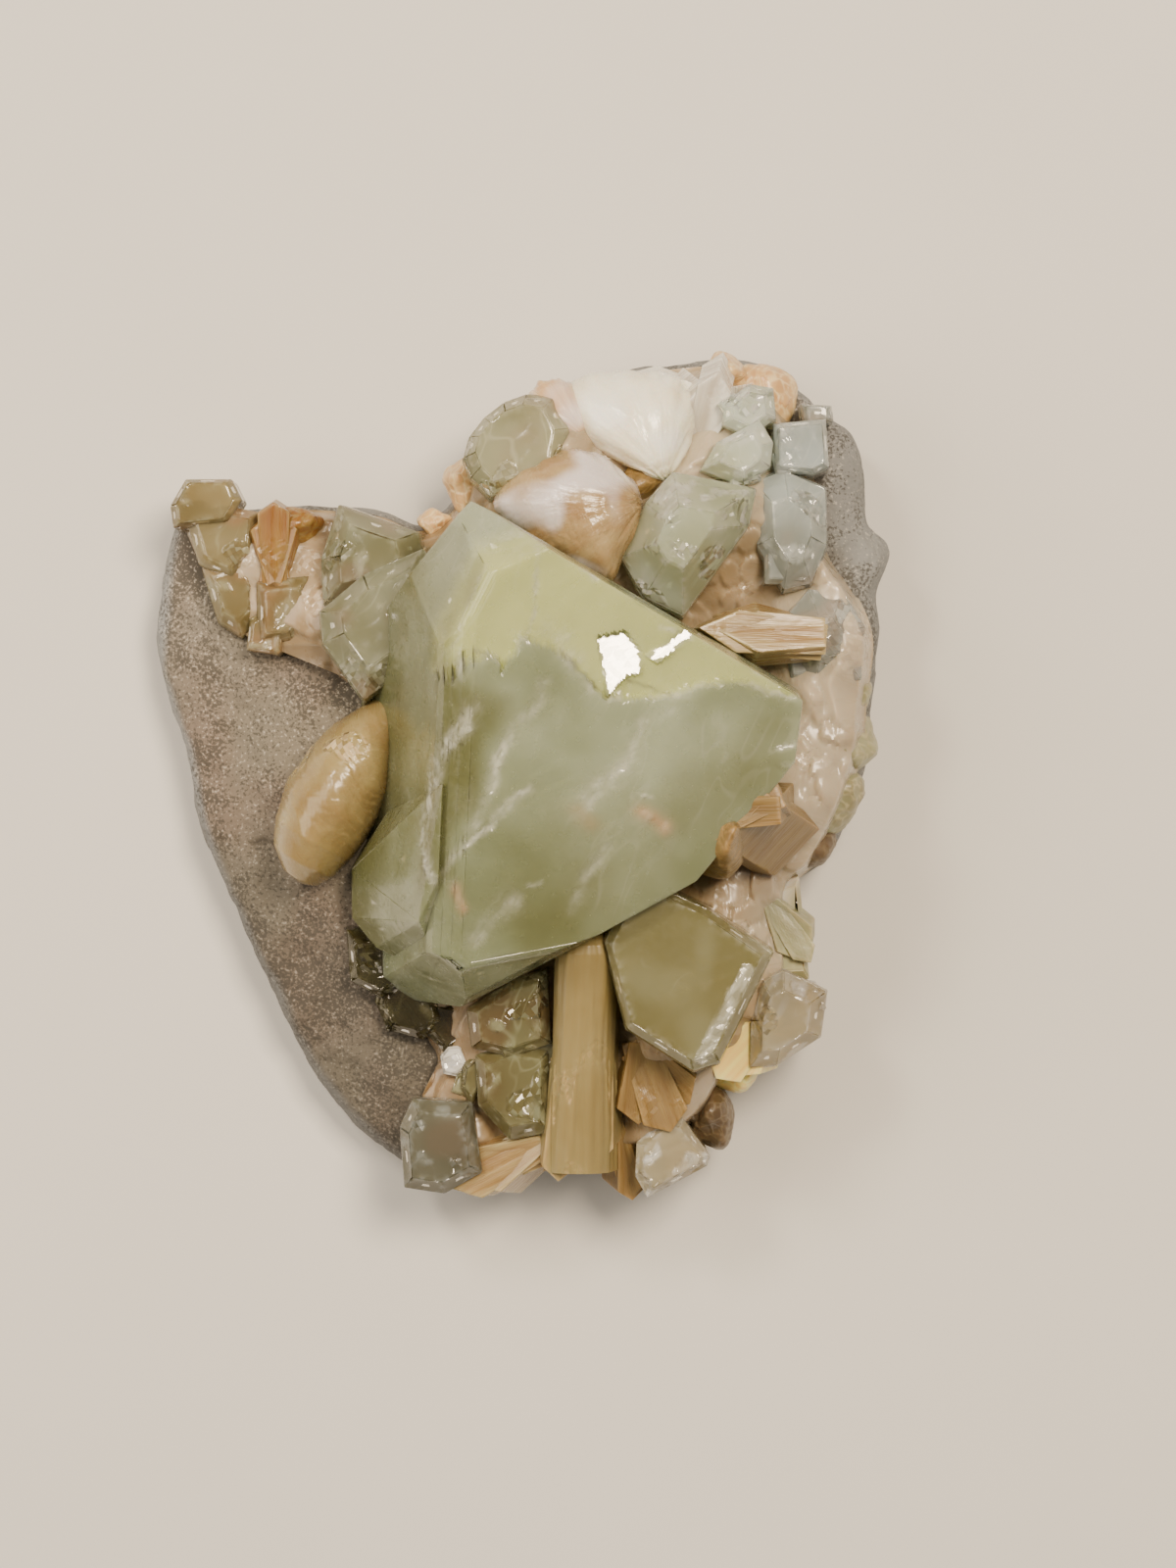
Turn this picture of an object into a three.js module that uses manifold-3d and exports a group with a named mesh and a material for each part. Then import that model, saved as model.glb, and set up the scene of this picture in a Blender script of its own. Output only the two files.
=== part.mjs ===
// Apophyllite cluster with stilbite on a trimmed piece of basalt.
// Millimetres, +Z up. The specimen lies on its flat back with the crystals up.
import * as THREE from 'three';
import { ConvexGeometry } from 'three/addons/geometries/ConvexGeometry.js';
import { mergeVertices } from 'three/addons/utils/BufferGeometryUtils.js';
import Module from 'manifold-3d';

const wasm = await Module();
wasm.setup();

// ---- driving dimensions ----------------------------------------------------
const GAP = 0.3; // clearance between pieces that touch
const FINEST = 0.11; // smallest facet detail that is kept
const SEAT = 9; // height below which every crystal has ended on the rock
const ROCK_TOP = 16; // thickness of the rock under the crystals
const ROCK_RIM = 12.5; // height of the rock just inside its rim
const LEDGE_DROP = 1.1; // depth of the broken ledge on the large crystal

const COLOURS = {
  rock: [0.42, 0.38, 0.33, 0.9],
  green: [0.62, 0.66, 0.44, 0.2],
  paleGreen: [0.7, 0.71, 0.58, 0.25],
  glassy: [0.62, 0.6, 0.54, 0.2],
  orange: [0.83, 0.56, 0.32, 0.45],
  peach: [0.86, 0.66, 0.48, 0.5],
  pearly: [0.85, 0.76, 0.68, 0.35],
  cream: [0.83, 0.78, 0.66, 0.6],
  violet: [0.6, 0.52, 0.5, 0.6],
};

// ---- geometry helpers --------------------------------------------------------

/** Repeatable value between 0 and 1 for a pair of whole numbers. */
function chance(i, j) {
  const s = Math.sin(i * 127.1 + j * 311.7) * 43758.5453;
  return s - Math.floor(s);
}

/** Smooth repeatable waviness of the rock, about -1 to 1. */
function waviness(x, y) {
  return 0.5 * Math.sin(0.31 * x + 0.17 * y + 1.1) * Math.cos(0.23 * y - 0.11 * x)
    + 0.3 * Math.sin(0.67 * x - 0.49 * y) + 0.2 * Math.cos(1.13 * y + 0.71 * x);
}

/** Manifold solid of a closed three.js geometry. */
function solid(geometry) {
  const bare = geometry.clone();
  bare.deleteAttribute('normal');
  bare.deleteAttribute('uv');
  const joined = mergeVertices(bare, 1e-4);
  return new wasm.Manifold(new wasm.Mesh({
    numProp: 3,
    vertProperties: Float32Array.from(joined.attributes.position.array),
    triVerts: Uint32Array.from(joined.index.array),
  }));
}

/** Union of several solids. */
function fused(list) {
  return list.reduce((whole, next) => whole.add(next));
}

/** Flat faces of the convex body that wraps the given corners. */
function facesOf(corners) {
  const hull = new ConvexGeometry(corners).attributes.position;
  const faces = [];
  const triangle = new THREE.Triangle();
  for (let i = 0; i < hull.count; i += 3) {
    triangle.setFromAttributeAndIndices(hull, i, i + 1, i + 2);
    if (triangle.getArea() > 1e-4) {
      const plane = triangle.getPlane(new THREE.Plane());
      const known = faces.some((f) => f.normal.dot(plane.normal) > 0.99995
        && Math.abs(f.constant - plane.constant) < 0.02);
      if (!known) faces.push(plane);
    }
  }
  return faces;
}

/** Convex solid bounded by the faces, each moved outward by `grow`. */
function boundedBy(faces, grow = 0) {
  const planes = faces.map((f) => new THREE.Plane(f.normal.clone(), f.constant - grow));
  const corners = [];
  const basis = new THREE.Matrix3();
  for (let i = 0; i < planes.length; i += 1) {
    for (let j = i + 1; j < planes.length; j += 1) {
      for (let k = j + 1; k < planes.length; k += 1) {
        const [a, b, c] = [planes[i], planes[j], planes[k]];
        basis.set(...a.normal.toArray(), ...b.normal.toArray(), ...c.normal.toArray());
        if (Math.abs(basis.determinant()) > 1e-4) {
          const p = new THREE.Vector3(-a.constant, -b.constant, -c.constant);
          p.applyMatrix3(basis.invert());
          if (planes.every((f) => f.distanceToPoint(p) < 1e-5)) corners.push(p);
        }
      }
    }
  }
  return solid(new ConvexGeometry(corners));
}

/** Face through three corners, looking away from the point `inside`. */
function faceThrough(a, b, c, inside) {
  const plane = new THREE.Plane().setFromCoplanarPoints(a, b, c);
  return plane.distanceToPoint(inside) < 0 ? plane : plane.negate();
}

/** Corners of an outline repeated at several heights, each [height, scale]. */
function stacked(outline, levels, slope = [0, 0]) {
  const mid = outline.reduce((s, p) => [s[0] + p[0] / outline.length, s[1] + p[1] / outline.length], [0, 0]);
  return levels.flatMap(([height, scale]) => outline.map(([x, y]) => {
    const dx = (x - mid[0]) * scale;
    const dy = (y - mid[1]) * scale;
    return new THREE.Vector3(mid[0] + dx, mid[1] + dy, height + slope[0] * dx + slope[1] * dy);
  }));
}

/** Crystal seen from above by its outline; returns a maker of its grown solid. */
function blocky(outline, levels, slope) {
  const faces = facesOf(stacked(outline, levels, slope));
  return (grow) => boundedBy(faces, grow);
}

/** Frame at `at` whose X runs to `azimuth` in plan and `pitch` upward, rolled about it. */
function placed(at, azimuth, pitch, roll = 0) {
  const [x, y, z] = [roll, -pitch, azimuth].map(THREE.MathUtils.degToRad);
  const turn = new THREE.Euler(x, y, z, 'ZYX');
  return new THREE.Matrix4().makeRotationFromEuler(turn).setPosition(...at);
}

/** Thin stilbite plate along local X with a roof-shaped end. */
function plate(frame, length, width, thick, point) {
  const half = width / 2;
  const side = [[0, -half * 0.7], [length - point, -half]];
  const outline = [...side, [length, 0], ...side.map(([x, y]) => [x, -y]).reverse()];
  const corners = outline.flatMap(([x, y]) => [-thick / 2, thick / 2].map((z) => (
    new THREE.Vector3(x, y, z).applyMatrix4(frame))));
  return facesOf(corners);
}

/** Sheaf of plates that share a foot and open like a hand. */
function sheaf({ at, azimuth, pitch, roll = 0, count, spread, length, width, thick, point = 3, lift = 0 }) {
  const plates = Array.from({ length: count }, (_, i) => {
    const t = count > 1 ? i / (count - 1) - 0.5 : 0;
    const reach = length * (1 - 0.5 * t * t - 0.1 * chance(i, count));
    const foot = [at[0], at[1], at[2] + lift * t];
    return plate(placed(foot, azimuth + spread * t, pitch - 8 * Math.abs(t), roll + 30 * t),
      reach, width, thick * (0.8 + 0.4 * chance(count, i)), point);
  });
  return (grow) => fused(plates.map((faces) => boundedBy(faces, grow)));
}

/** Rounded lump: a ball drawn out to three radii, with shallow knobs. */
function lump({ at, radii, azimuth = 0, knobs = 0.12 }) {
  return (grow) => {
    const ball = new THREE.SphereGeometry(1, 8, 5);
    const pos = ball.attributes.position;
    const frame = placed(at, azimuth, 0);
    const p = new THREE.Vector3();
    for (let i = 0; i < pos.count; i += 1) {
      p.fromBufferAttribute(pos, i);
      const wave = Math.sin(3.1 * p.x + at[0]) + Math.sin(3.7 * p.y + at[1]) + Math.sin(3.3 * p.z + at[2]);
      const swell = 1 + knobs * wave / 2;
      const [rx, ry, rz] = radii.map((radius) => radius * swell + grow);
      p.set(p.x * rx, p.y * ry, p.z * rz);
      p.applyMatrix4(frame);
      pos.setXYZ(i, p.x, p.y, p.z);
    }
    return solid(ball);
  };
}

/** Closed surface carried through equal loops of points, ending in a point at each end. */
function lofted(first, loops, last) {
  const around = loops[0].length;
  const vertices = [first, ...loops.flat(), last].flat();
  const index = [];
  for (let i = 0; i < around; i += 1) {
    const next = (i + 1) % around;
    index.push(0, 1 + next, 1 + i);
    for (let r = 0; r < loops.length - 1; r += 1) {
      const a = 1 + r * around;
      const b = a + around;
      index.push(a + i, a + next, b + next, a + i, b + next, b + i);
    }
    const rim = 1 + (loops.length - 1) * around;
    index.push(rim + i, rim + next, 1 + loops.length * around);
  }
  const shell = new THREE.BufferGeometry();
  shell.setAttribute('position', new THREE.Float32BufferAttribute(vertices, 3));
  shell.setIndex(index);
  return solid(shell);
}

/** Point of a local frame as plain numbers. */
function pointIn(frame, x, y, z) {
  return new THREE.Vector3(x, y, z).applyMatrix4(frame).toArray();
}

/** Several makers joined in one. */
function together(...makers) {
  return (grow) => fused(makers.map((make) => make(grow)));
}

// ---- matrix ----------------------------------------------------------------

const ROCK_OUTLINE = [
  [-44.6, 35.2], [-36.8, 34.6], [-27.3, 35.4], [-18, 34.4], [-13.2, 32.8], [-8.8, 36.4], [-6, 43.5],
  [1.4, 48], [6, 50.6], [14, 53], [21, 53.8], [26.6, 54.4], [32.8, 53.2], [36.4, 49.8], [39.6, 46.6],
  [42.8, 44.2], [44.4, 39], [44.8, 33], [47.7, 29.6], [46, 24], [46.2, 18.6], [45.2, 9.2], [44.8, 3],
  [42.4, -5], [38.8, -11.4], [35.6, -14], [35.4, -22], [34.8, -28], [31.5, -34], [27, -40], [24, -45.5],
  [14.5, -50], [2, -50.6], [-9, -51.8], [-14.8, -50.6], [-18.5, -48.3], [-22.7, -44.6], [-25.7, -40.7],
  [-28.4, -36.6], [-32.1, -29.1], [-35.8, -21.4], [-38.9, -13.8], [-42.2, -6], [-43.6, 1.6],
  [-45.8, 9.2], [-47.8, 16.9], [-47.2, 24.5], [-45.6, 32],
];
// Rings of the rock's surface: how far out, and what part of the height is left there.
const ROCK_RINGS = [
  [0.54, 1], [0.71, 1], [0.83, 1], [0.91, 0.99], [0.96, 0.93], [0.99, 0.8], [1, 0.5], [0.965, 0.18], [0.91, 0],
];

/** Height of the rock surface before its rim turns down: level in the middle, wavy outside. */
function rockHeight(x, y) {
  const away = Math.hypot(x / 46, y / 52);
  const crust = THREE.MathUtils.smoothstep(x, 30, 42) * 5.5 * THREE.MathUtils.smoothstep(y, -16, 6);
  const ledge = 1.3 * THREE.MathUtils.smoothstep(x + 0.35 * y, -36, -30);
  const slope = ROCK_RIM - 1.3 + ledge + (ROCK_TOP - ROCK_RIM) * Math.sqrt(1 - Math.min(1, away));
  const wild = THREE.MathUtils.smoothstep(away, 0.6, 0.78);
  return THREE.MathUtils.lerp(ROCK_TOP - 1, slope + crust + 0.7 * waviness(x, y), wild);
}

/** Rock: a domed, wavy top on a flat back, inside a broken outline. */
function rockBody(grow) {
  const corners = ROCK_OUTLINE.map(([x, y]) => new THREE.Vector3(x, y, 0));
  const loop = new THREE.CatmullRomCurve3(corners, true, 'centripetal');
  const around = 54;
  const loops = ROCK_RINGS.map(([out, left], r) => Array.from({ length: around }, (_, i) => {
    const edge = loop.getPoint(i / around);
    const ragged = out * (1 + (r > 2 && left > 0 ? 0.014 * (chance(i, r) - 0.5) : 0));
    const outward = grow * out / edge.length();
    const x = edge.x * (ragged + outward);
    const y = edge.y * (ragged + outward);
    return [x, y, rockHeight(edge.x * out, edge.y * out) * left + (left > 0.3 ? grow : 0)];
  }));
  return lofted([0, 0, rockHeight(0, 0) + grow], loops, [0, 0, 0]);
}

// ---- large apophyllite -------------------------------------------------------

const MAIN_HEART = new THREE.Vector3(6, 3, 30);
const MAIN_CORNERS = {
  summit: [-3.1, 23.9, 55.4],
  brow: [-8.4, 13.6, 53.5],
  crest: [2.1, 28.3, 52.3],
  shoulder: [32.3, 10.6, 44.1],
  keelTop: [-9.8, -12.2, 46.4],
  peak: [-5.2, 34.4, 41.9],
  leftPeak: [-11, 27.7, 41],
  leftFlank: [-14.4, 3.9, 33.8],
  chipTop: [-12.6, -18.2, 44.4],
  chipLeft: [-23.4, -16.8, 24.8],
  chipRight: [-18.6, -22.6, 26.6],
  footTop: [-7, -23.7, 42.4],
  footLeft: [-7.5, -29, 28.4],
  footRight: [-4.4, -29.2, 28.4],
  toeTop: [3.7, -22, 40.1],
  toe: [3.6, -23.5, 33.8],
  heel: [9.7, -19.6, 40.1],
  flank: [21.8, -13, 40.1],
  rightLow: [33.9, 1.6, 41],
  rightHigh: [35, 11, 38.3],
  rimLeft: [0.2, 30.3, 46.4],
  rimMiddle: [13.3, 22.5, 41.9],
};

/** Faces of the large crystal, each through three of its corners. */
function mainFaces() {
  const at = Object.fromEntries(Object.entries(MAIN_CORNERS).map(([k, v]) => [k, new THREE.Vector3(...v)]));
  const below = (p) => new THREE.Vector3(p.x, p.y, SEAT);
  const sets = [
    [at.summit, at.keelTop, at.shoulder],
    [at.summit, at.brow, at.leftPeak],
    [at.summit, at.crest, at.peak],
    [at.crest, at.shoulder, at.rimMiddle],
    [at.brow, at.keelTop, at.leftFlank],
    [at.chipTop, at.chipLeft, at.chipRight],
    [at.footTop, at.footLeft, at.chipRight],
    [at.footTop, at.toeTop, at.footRight],
    [at.toeTop, at.heel, at.toe],
    [at.heel, at.flank, below(at.heel)],
    [at.flank, at.rightLow, below(at.flank)],
    [at.rightLow, at.rightHigh, below(at.rightLow)],
    [at.rimLeft, at.rightHigh, below(at.rimLeft)],
    [at.peak, at.leftPeak, below(at.peak)],
    [at.footLeft, at.footRight, below(at.footLeft)],
  ];
  const faces = sets.map(([a, b, c]) => faceThrough(a, b, c, MAIN_HEART));
  faces.push(new THREE.Plane(new THREE.Vector3(0, 0, -1), SEAT));
  return faces;
}

/** Frame lying on a face, its Z along the face normal, its origin under `point`. */
function frameOn(face, point) {
  const origin = face.projectPoint(point, new THREE.Vector3());
  const up = face.normal.clone();
  const across = new THREE.Vector3(1, 0, 0).projectOnPlane(up).normalize();
  const along = new THREE.Vector3().crossVectors(up, across);
  return new THREE.Matrix4().makeBasis(across, along, up).setPosition(origin);
}

/** Prism standing on a face over an outline given in plan. */
function prismOn(face, outline, drop, height) {
  const frame = frameOn(face, MAIN_HEART);
  const back = frame.clone().invert();
  const shape = new THREE.Shape(outline.map(([x, y]) => {
    const z = -(face.constant + face.normal.x * x + face.normal.y * y) / face.normal.z;
    const p = new THREE.Vector3(x, y, z).applyMatrix4(back);
    return new THREE.Vector2(p.x, p.y);
  }));
  const block = new THREE.ExtrudeGeometry(shape, { depth: height, bevelEnabled: false });
  return solid(block.translate(0, 0, -drop).applyMatrix4(frame));
}

const LEDGE_OUTLINE = [
  [-10.5, 12.5], [-8.2, 11.6], [-6.5, 14.2], [-3, 14.4], [-1.8, 12.4], [0, 16.4], [3, 15.9], [6.5, 14.1],
  [8.8, 11.2], [11.2, 9.2], [18.6, 9.8], [25, 11.5], [36, 9], [36, 40], [-20, 40], [-20, 14],
];

const FOOT_FACES = facesOf([
  [-16.8, -2, SEAT], [-22.2, -11.6, SEAT], [-22.2, -18.4, SEAT], [-18.8, -22.6, SEAT], [-9, -27, SEAT],
  [-6, -4, SEAT],
  [-9.1, -1, 48.9], [-9.7, -12.4, 46.1], [-12.2, -17.8, 43.4], [-16.8, -4.6, 27], [-21.5, -11.8, 22.4],
  [-21.5, -18, 22], [-18.3, -21.7, 24.6], [-9.6, -25.6, 30],
].map((c) => new THREE.Vector3(...c)));

/** Large crystal with its chipped foot and its broken ledge. */
function mainBody(grow) {
  const faces = mainFaces();
  const whole = boundedBy(faces, grow).add(boundedBy(FOOT_FACES, grow));
  if (grow > 0) return whole;
  const ledge = prismOn(faces[0], LEDGE_OUTLINE, LEDGE_DROP, 20);
  return whole.subtract(ledge);
}

// ---- other apophyllites ------------------------------------------------------

const cubeApophyllite = blocky(
  [[16.5, -13.2], [23.4, -16.3], [31.7, -22], [24.9, -36], [21.6, -37], [13.2, -31.6], [10.3, -20.5],
    [13.6, -14]],
  [[36.5, 0.87], [35, 0.97], [33, 1], [SEAT, 1.06]], [-0.05, 0.04]);

const upperApophyllite = together(
  blocky([[19.2, 38.4], [29.8, 36.2], [28.9, 31.5], [20.5, 20], [15.5, 22.5], [12.5, 27.5], [15.6, 34.4]],
    [[34, 0.42], [27.5, 0.98], [25, 1], [SEAT, 1.05]], [0.1, 0.12]),
  blocky([[22.3, 38.3], [24.5, 42], [30.2, 45], [32, 42], [31.6, 38.8], [28, 36.2]],
    [[31, 0.55], [28.5, 0.95], [SEAT, 1.16]], [-0.08, 0.1]),
  blocky([[25.3, 44.2], [25.4, 46.8], [28.7, 49.6], [32, 49], [32.4, 45], [29, 42.6]],
    [[28, 0.6], [26.5, 0.95], [SEAT, 1.16]], [0.05, 0.1]),
);

const roundApophyllite = blocky(
  [[-7.5, 40.2], [-6.7, 43], [-4.8, 45.5], [-2.2, 47.5], [0.9, 48.6], [4.5, 48], [6.5, 44], [5.5, 38.5],
    [0, 36], [-4, 35], [-6.5, 37.6]],
  [[27.5, 0.72], [25, 0.95], [22.5, 1], [SEAT, 1.05]], [0.1, -0.05]);

const leftApophyllites = together(
  blocky([[-25.7, 20.8], [-20, 25.6], [-12, 29], [-9, 24], [-12, 15], [-19.9, 9.2], [-25.3, 16.6]],
    [[28.5, 0.6], [26, 0.96], [24, 1], [SEAT, 1.1]], [0.12, 0.06]),
  blocky([[-25.6, 27.5], [-23.2, 34.6], [-18, 32.5], [-12.8, 31], [-12, 27], [-19, 22.8], [-25.4, 21.4]],
    [[26, 0.55], [22.5, 0.97], [SEAT, 1.1]], [0.02, 0.16]),
);

const cornerApophyllites = together(
  blocky([[-45, 34.6], [-43, 38], [-37.1, 38], [-35.8, 35.4], [-37.6, 32.5], [-44.6, 31.8]],
    [[19.5, 0.82], [18.2, 1], [9, 1]], [0.05, 0.02]),
  blocky([[-43.4, 33.6], [-38, 34.8], [-33.5, 34], [-34, 28], [-37, 25], [-41.5, 27]],
    [[18.5, 0.7], [17, 0.97], [10, 1]], [0.02, -0.05]),
  blocky([[-41.3, 27], [-37, 28.5], [-33.8, 27], [-33.6, 20], [-36, 17.6], [-39.2, 19.6]],
    [[17.5, 0.6], [16, 0.95], [SEAT, 1.16]], [0.04, 0.08]),
  blocky([[-34, 25], [-27, 25.8], [-26.2, 19.6], [-29.4, 17.2], [-34, 16.8]],
    [[19.8, 0.66], [18.2, 0.97], [SEAT, 1.16]], [0.02, 0.08]),
);

const rightApophyllites = together(
  blocky([[31.8, 44.6], [38.6, 45.2], [39, 39], [37, 38], [32, 38.6]],
    [[27, 0.8], [25.6, 0.98], [SEAT, 1.16]], [0.06, -0.04]),
  blocky([[35.6, 47.4], [39.5, 47.2], [39.8, 45.2], [36, 44.6]], [[22.5, 0.7], [21, 1], [12, 1]]),
  blocky([[29.2, 37.5], [33.2, 39], [38.7, 36.6], [38.9, 29], [36.9, 24], [33.2, 23.2], [29.6, 29]],
    [[27.5, 0.5], [25, 0.94], [23, 1], [SEAT, 1.12]], [0.05, 0.08]),
  blocky([[33, 19.8], [36.4, 24], [41, 23.6], [43.8, 19], [43.4, 12], [37, 10.8], [34.6, 14.6]],
    [[25.5, 0.4], [22.8, 0.95], [21, 1], [SEAT, 1.12]], [0.06, 0.05]),
);

const darkApophyllite = blocky(
  [[-15.6, -44.6], [-13.9, -40.9], [-6.2, -41.4], [-4.8, -50.6], [-9.8, -53.4], [-15, -52.6]],
  [[22.5, 0.72], [20.6, 0.97], [19, 1], [7, 0.94]], [-0.02, 0.08]);

const underApophyllites = together(
  blocky([[-22.4, -19.5], [-16, -20], [-13.8, -26.2], [-17.6, -28.6], [-21.9, -26.2]],
    [[21, 0.7], [19.6, 0.97], [SEAT, 1.16]], [0.02, 0.1]),
  blocky([[-18.6, -25.6], [-11, -26], [-9.4, -31.4], [-12.6, -33.8], [-17.2, -32.6], [-18.8, -29]],
    [[19.6, 0.66], [18.2, 0.97], [SEAT, 1.16]], [0.04, 0.08]),
  blocky([[-12, -28], [-6.6, -28.6], [-6.4, -34], [-9.4, -36], [-12.4, -33]],
    [[18.8, 0.6], [17.4, 0.97], [SEAT, 1.16]], [-0.04, 0.06]),
);

const lowerApophyllites = together(
  blocky([[-7, -29.5], [-1, -25.6], [3.4, -24.4], [4, -34], [-1, -35.8], [-6.4, -34.6]],
    [[25, 0.72], [23.4, 0.97], [SEAT, 1.16]], [0.03, 0.05]),
  blocky([[-6, -35.4], [-1, -33.6], [4, -34.4], [4, -45.5], [-1.5, -46.5], [-5.6, -42]],
    [[23.5, 0.7], [21.6, 0.97], [10, 1]], [0.02, 0.05]),
  blocky([[-7.4, -36.6], [-5.2, -34.6], [-3.6, -38], [-6.4, -42.4], [-8, -40]],
    [[21, 0.6], [19.6, 0.96], [SEAT, 1.16]], [0.06, 0.04]),
);

const tinyApophyllite = blocky(
  [[-10.4, -35.8], [-9.4, -34.6], [-7.6, -34.4], [-6.7, -36.6], [-8.2, -38.4], [-10, -38]],
  [[19.5, 0.8], [18.8, 1], [SEAT, 1.1]], [-0.127, -0.124]);

const striatedCrystal = blocky(
  [[14.6, -46.6], [18.4, -43.2], [20.6, -43.4], [24.2, -48.4], [23.8, -49.6], [16, -53.8], [14.4, -51]],
  [[23, 0.74], [21.2, 0.98], [8, 1]], [0.03, 0.02]);

const yellowApophyllite = blocky(
  [[30.6, -25.9], [33.3, -24.4], [39, -27.2], [38.2, -33.2], [32.4, -37], [28.9, -37.2], [29, -31]],
  [[25.5, 0.6], [23, 0.96], [21.5, 1], [9, 0.95]], [-0.02, 0.1]);

// ---- stilbites ---------------------------------------------------------------

/** Half of a bow-tie: an almond with curved blade edges across it. */
function bowBody(grow) {
  const length = 26.4;
  const stations = [
    [0.02, 0.4], [0.1, 0.7], [0.22, 0.9], [0.4, 1], [0.58, 0.95], [0.74, 0.79], [0.88, 0.53], [0.97, 0.28],
  ];
  const frame = placed([-27.8, -13.3, 19.5], 61, 2);
  const around = 16;
  const loops = stations.map(([t, full]) => Array.from({ length: around }, (_, i) => {
    const angle = 2 * Math.PI * i / around;
    const x = t * length;
    const blades = 1 - 0.03 * Math.abs(Math.sin(0.42 * x - 2.1 * Math.cos(angle) + 0.8));
    const wide = 6.3 * full * blades + grow;
    const deep = 11.5 * full ** 0.8 * blades + grow;
    return pointIn(frame, x, 1.7 * full + wide * Math.cos(angle), deep * Math.sin(angle));
  }));
  return lofted(pointIn(frame, -0.3 - grow, 0.6, 0), loops, pointIn(frame, length + grow, 0, 0));
}

/** Tall blade with a rounded head, fluted along its length. */
function columnBody(grow) {
  const [x0, y0, z0] = [8.4, -19.4, 31.4];
  const length = 31;
  const stations = [[0, 0.36], [0.02, 0.72], [0.055, 0.93], [0.11, 1], [0.5, 1], [0.76, 1.08], [1, 1.14]];
  const around = 14;
  const loops = stations.map(([t, full], r) => Array.from({ length: around }, (_, i) => {
    const angle = 2 * Math.PI * i / around;
    const flute = 1 - 0.07 * Math.abs(Math.sin(2.5 * angle + 0.7)) - 0.03 * chance(i, r > 3 ? 1 : 0);
    const wide = 4.15 * flute * full + grow;
    const deep = 5.2 * flute * full + grow;
    const y = y0 + grow - (length + 2 * grow) * t - (t > 0 ? 0 : 0.4);
    return [x0 - 0.9 * t + wide * Math.cos(angle), y, z0 - 13 * t + deep * Math.sin(angle)];
  }));
  return lofted([x0, y0 + 0.1 + grow, z0 + 0.2], loops, [x0 - 0.9, y0 - length - grow, z0 - 13]);
}

const columnStilbite = together(
  columnBody,
  (grow) => boundedBy(plate(placed([10.5, -26, 24.5], -92, -12, 12), 24, 5.2, 6, 3), grow),
  (grow) => boundedBy(plate(placed([5.4, -36, 23], -94, -14, -10), 15.5, 4.4, 5, 2), grow),
);

const pearlyFan = blocky(
  [[-3.4, 34.8], [-0.6, 38.9], [4.9, 41.2], [7.5, 41.4], [9.8, 40.5], [12.6, 38.6], [14.6, 36.6], [15.3, 33.5],
    [14.6, 30.8], [13.1, 27.6], [11.6, 24.6], [7.4, 25.8], [2.4, 28.8], [-1, 31.4]],
  [[31.6, 0.42], [30.4, 0.72], [28.2, 0.92], [25.6, 1], [SEAT, 0.96]], [0.1, -0.02]);

const whiteFan = together(
  blocky(
    [[7.6, 43], [5.6, 46.6], [5.2, 49.4], [8.4, 51.2], [13.4, 51.8], [18, 51.4], [20.8, 50.2], [22.2, 46.4],
      [21.6, 41.6], [19.6, 38], [17, 37.2], [13.4, 39.2], [10, 41.2]],
    [[27.6, 0.4], [26.4, 0.72], [24.2, 0.92], [21.6, 1], [SEAT, 1]], [0.08, -0.12]),
  (grow) => boundedBy(plate(placed([17, 41, 16], 88, 10), 11.4, 9, 9, 1.4), grow),
);

const greyBlades = sheaf({
  at: [22.4, 40.6, 17], azimuth: 76, pitch: 24, count: 3, spread: 34, length: 14, width: 4.4, thick: 8,
  point: 2.4 });

const peachRim = together(
  lump({ at: [30.6, 48.6, 12.5], radii: [5, 4.9, 6.4], azimuth: 20 }),
  lump({ at: [26.4, 52, 12], radii: [3.2, 2.9, 6] }),
);

const smallOrange = lump({ at: [17.4, 38.4, 18], radii: [4.6, 3.6, 8], azimuth: 40, knobs: 0.16 });

const topLeftStilbite = blocky(
  [[1.8, 44.4], [0.6, 47.6], [2.2, 50.2], [5.6, 50.6], [7.8, 48.6], [9.2, 44.8], [8, 42], [4.6, 42.4]],
  [[25.6, 0.4], [24.6, 0.72], [22.6, 0.93], [20, 1], [SEAT, 1]], [0.02, -0.1]);

const silkyBlade = sheaf({
  at: [38, 17.2, 25], azimuth: 175, pitch: 10, count: 3, spread: 9, length: 17, width: 5.4, thick: 6,
  point: 5, lift: 2 });

const notchStilbite = together(
  lump({ at: [-7.4, 37.6, 14.5], radii: [2.5, 3.6, 4.6], azimuth: 12 }),
  lump({ at: [-11.2, 32.6, 13], radii: [2.1, 1.8, 3.6] }),
);

const bandStilbite = together(
  sheaf({ at: [-31.6, 24, 16], azimuth: 90, pitch: 8, count: 3, spread: 24, length: 11.8, width: 4.2,
    thick: 5, point: 1.4 }),
  lump({ at: [-29, 32.2, 16], radii: [3.6, 3, 3.8], azimuth: 10 }),
);

const rightLumps = together(
  lump({ at: [41.4, 4.2, 15], radii: [4.6, 4.2, 7.4], azimuth: 10 }),
  lump({ at: [39.4, -2.6, 14], radii: [4.6, 4.4, 7.6], azimuth: -20 }),
  lump({ at: [36.8, 7.6, 16], radii: [4.2, 3.8, 8.6] }),
  lump({ at: [41.4, 10.4, 15], radii: [3.6, 3, 7.6] }),
);

const violetCrust = together(
  lump({ at: [35.6, -8.6, 13], radii: [4.8, 4, 6.6], azimuth: 20, knobs: 0.18 }),
  lump({ at: [30, -13.6, 13], radii: [5.4, 3.2, 6.4], azimuth: -20, knobs: 0.18 }),
);

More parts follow.
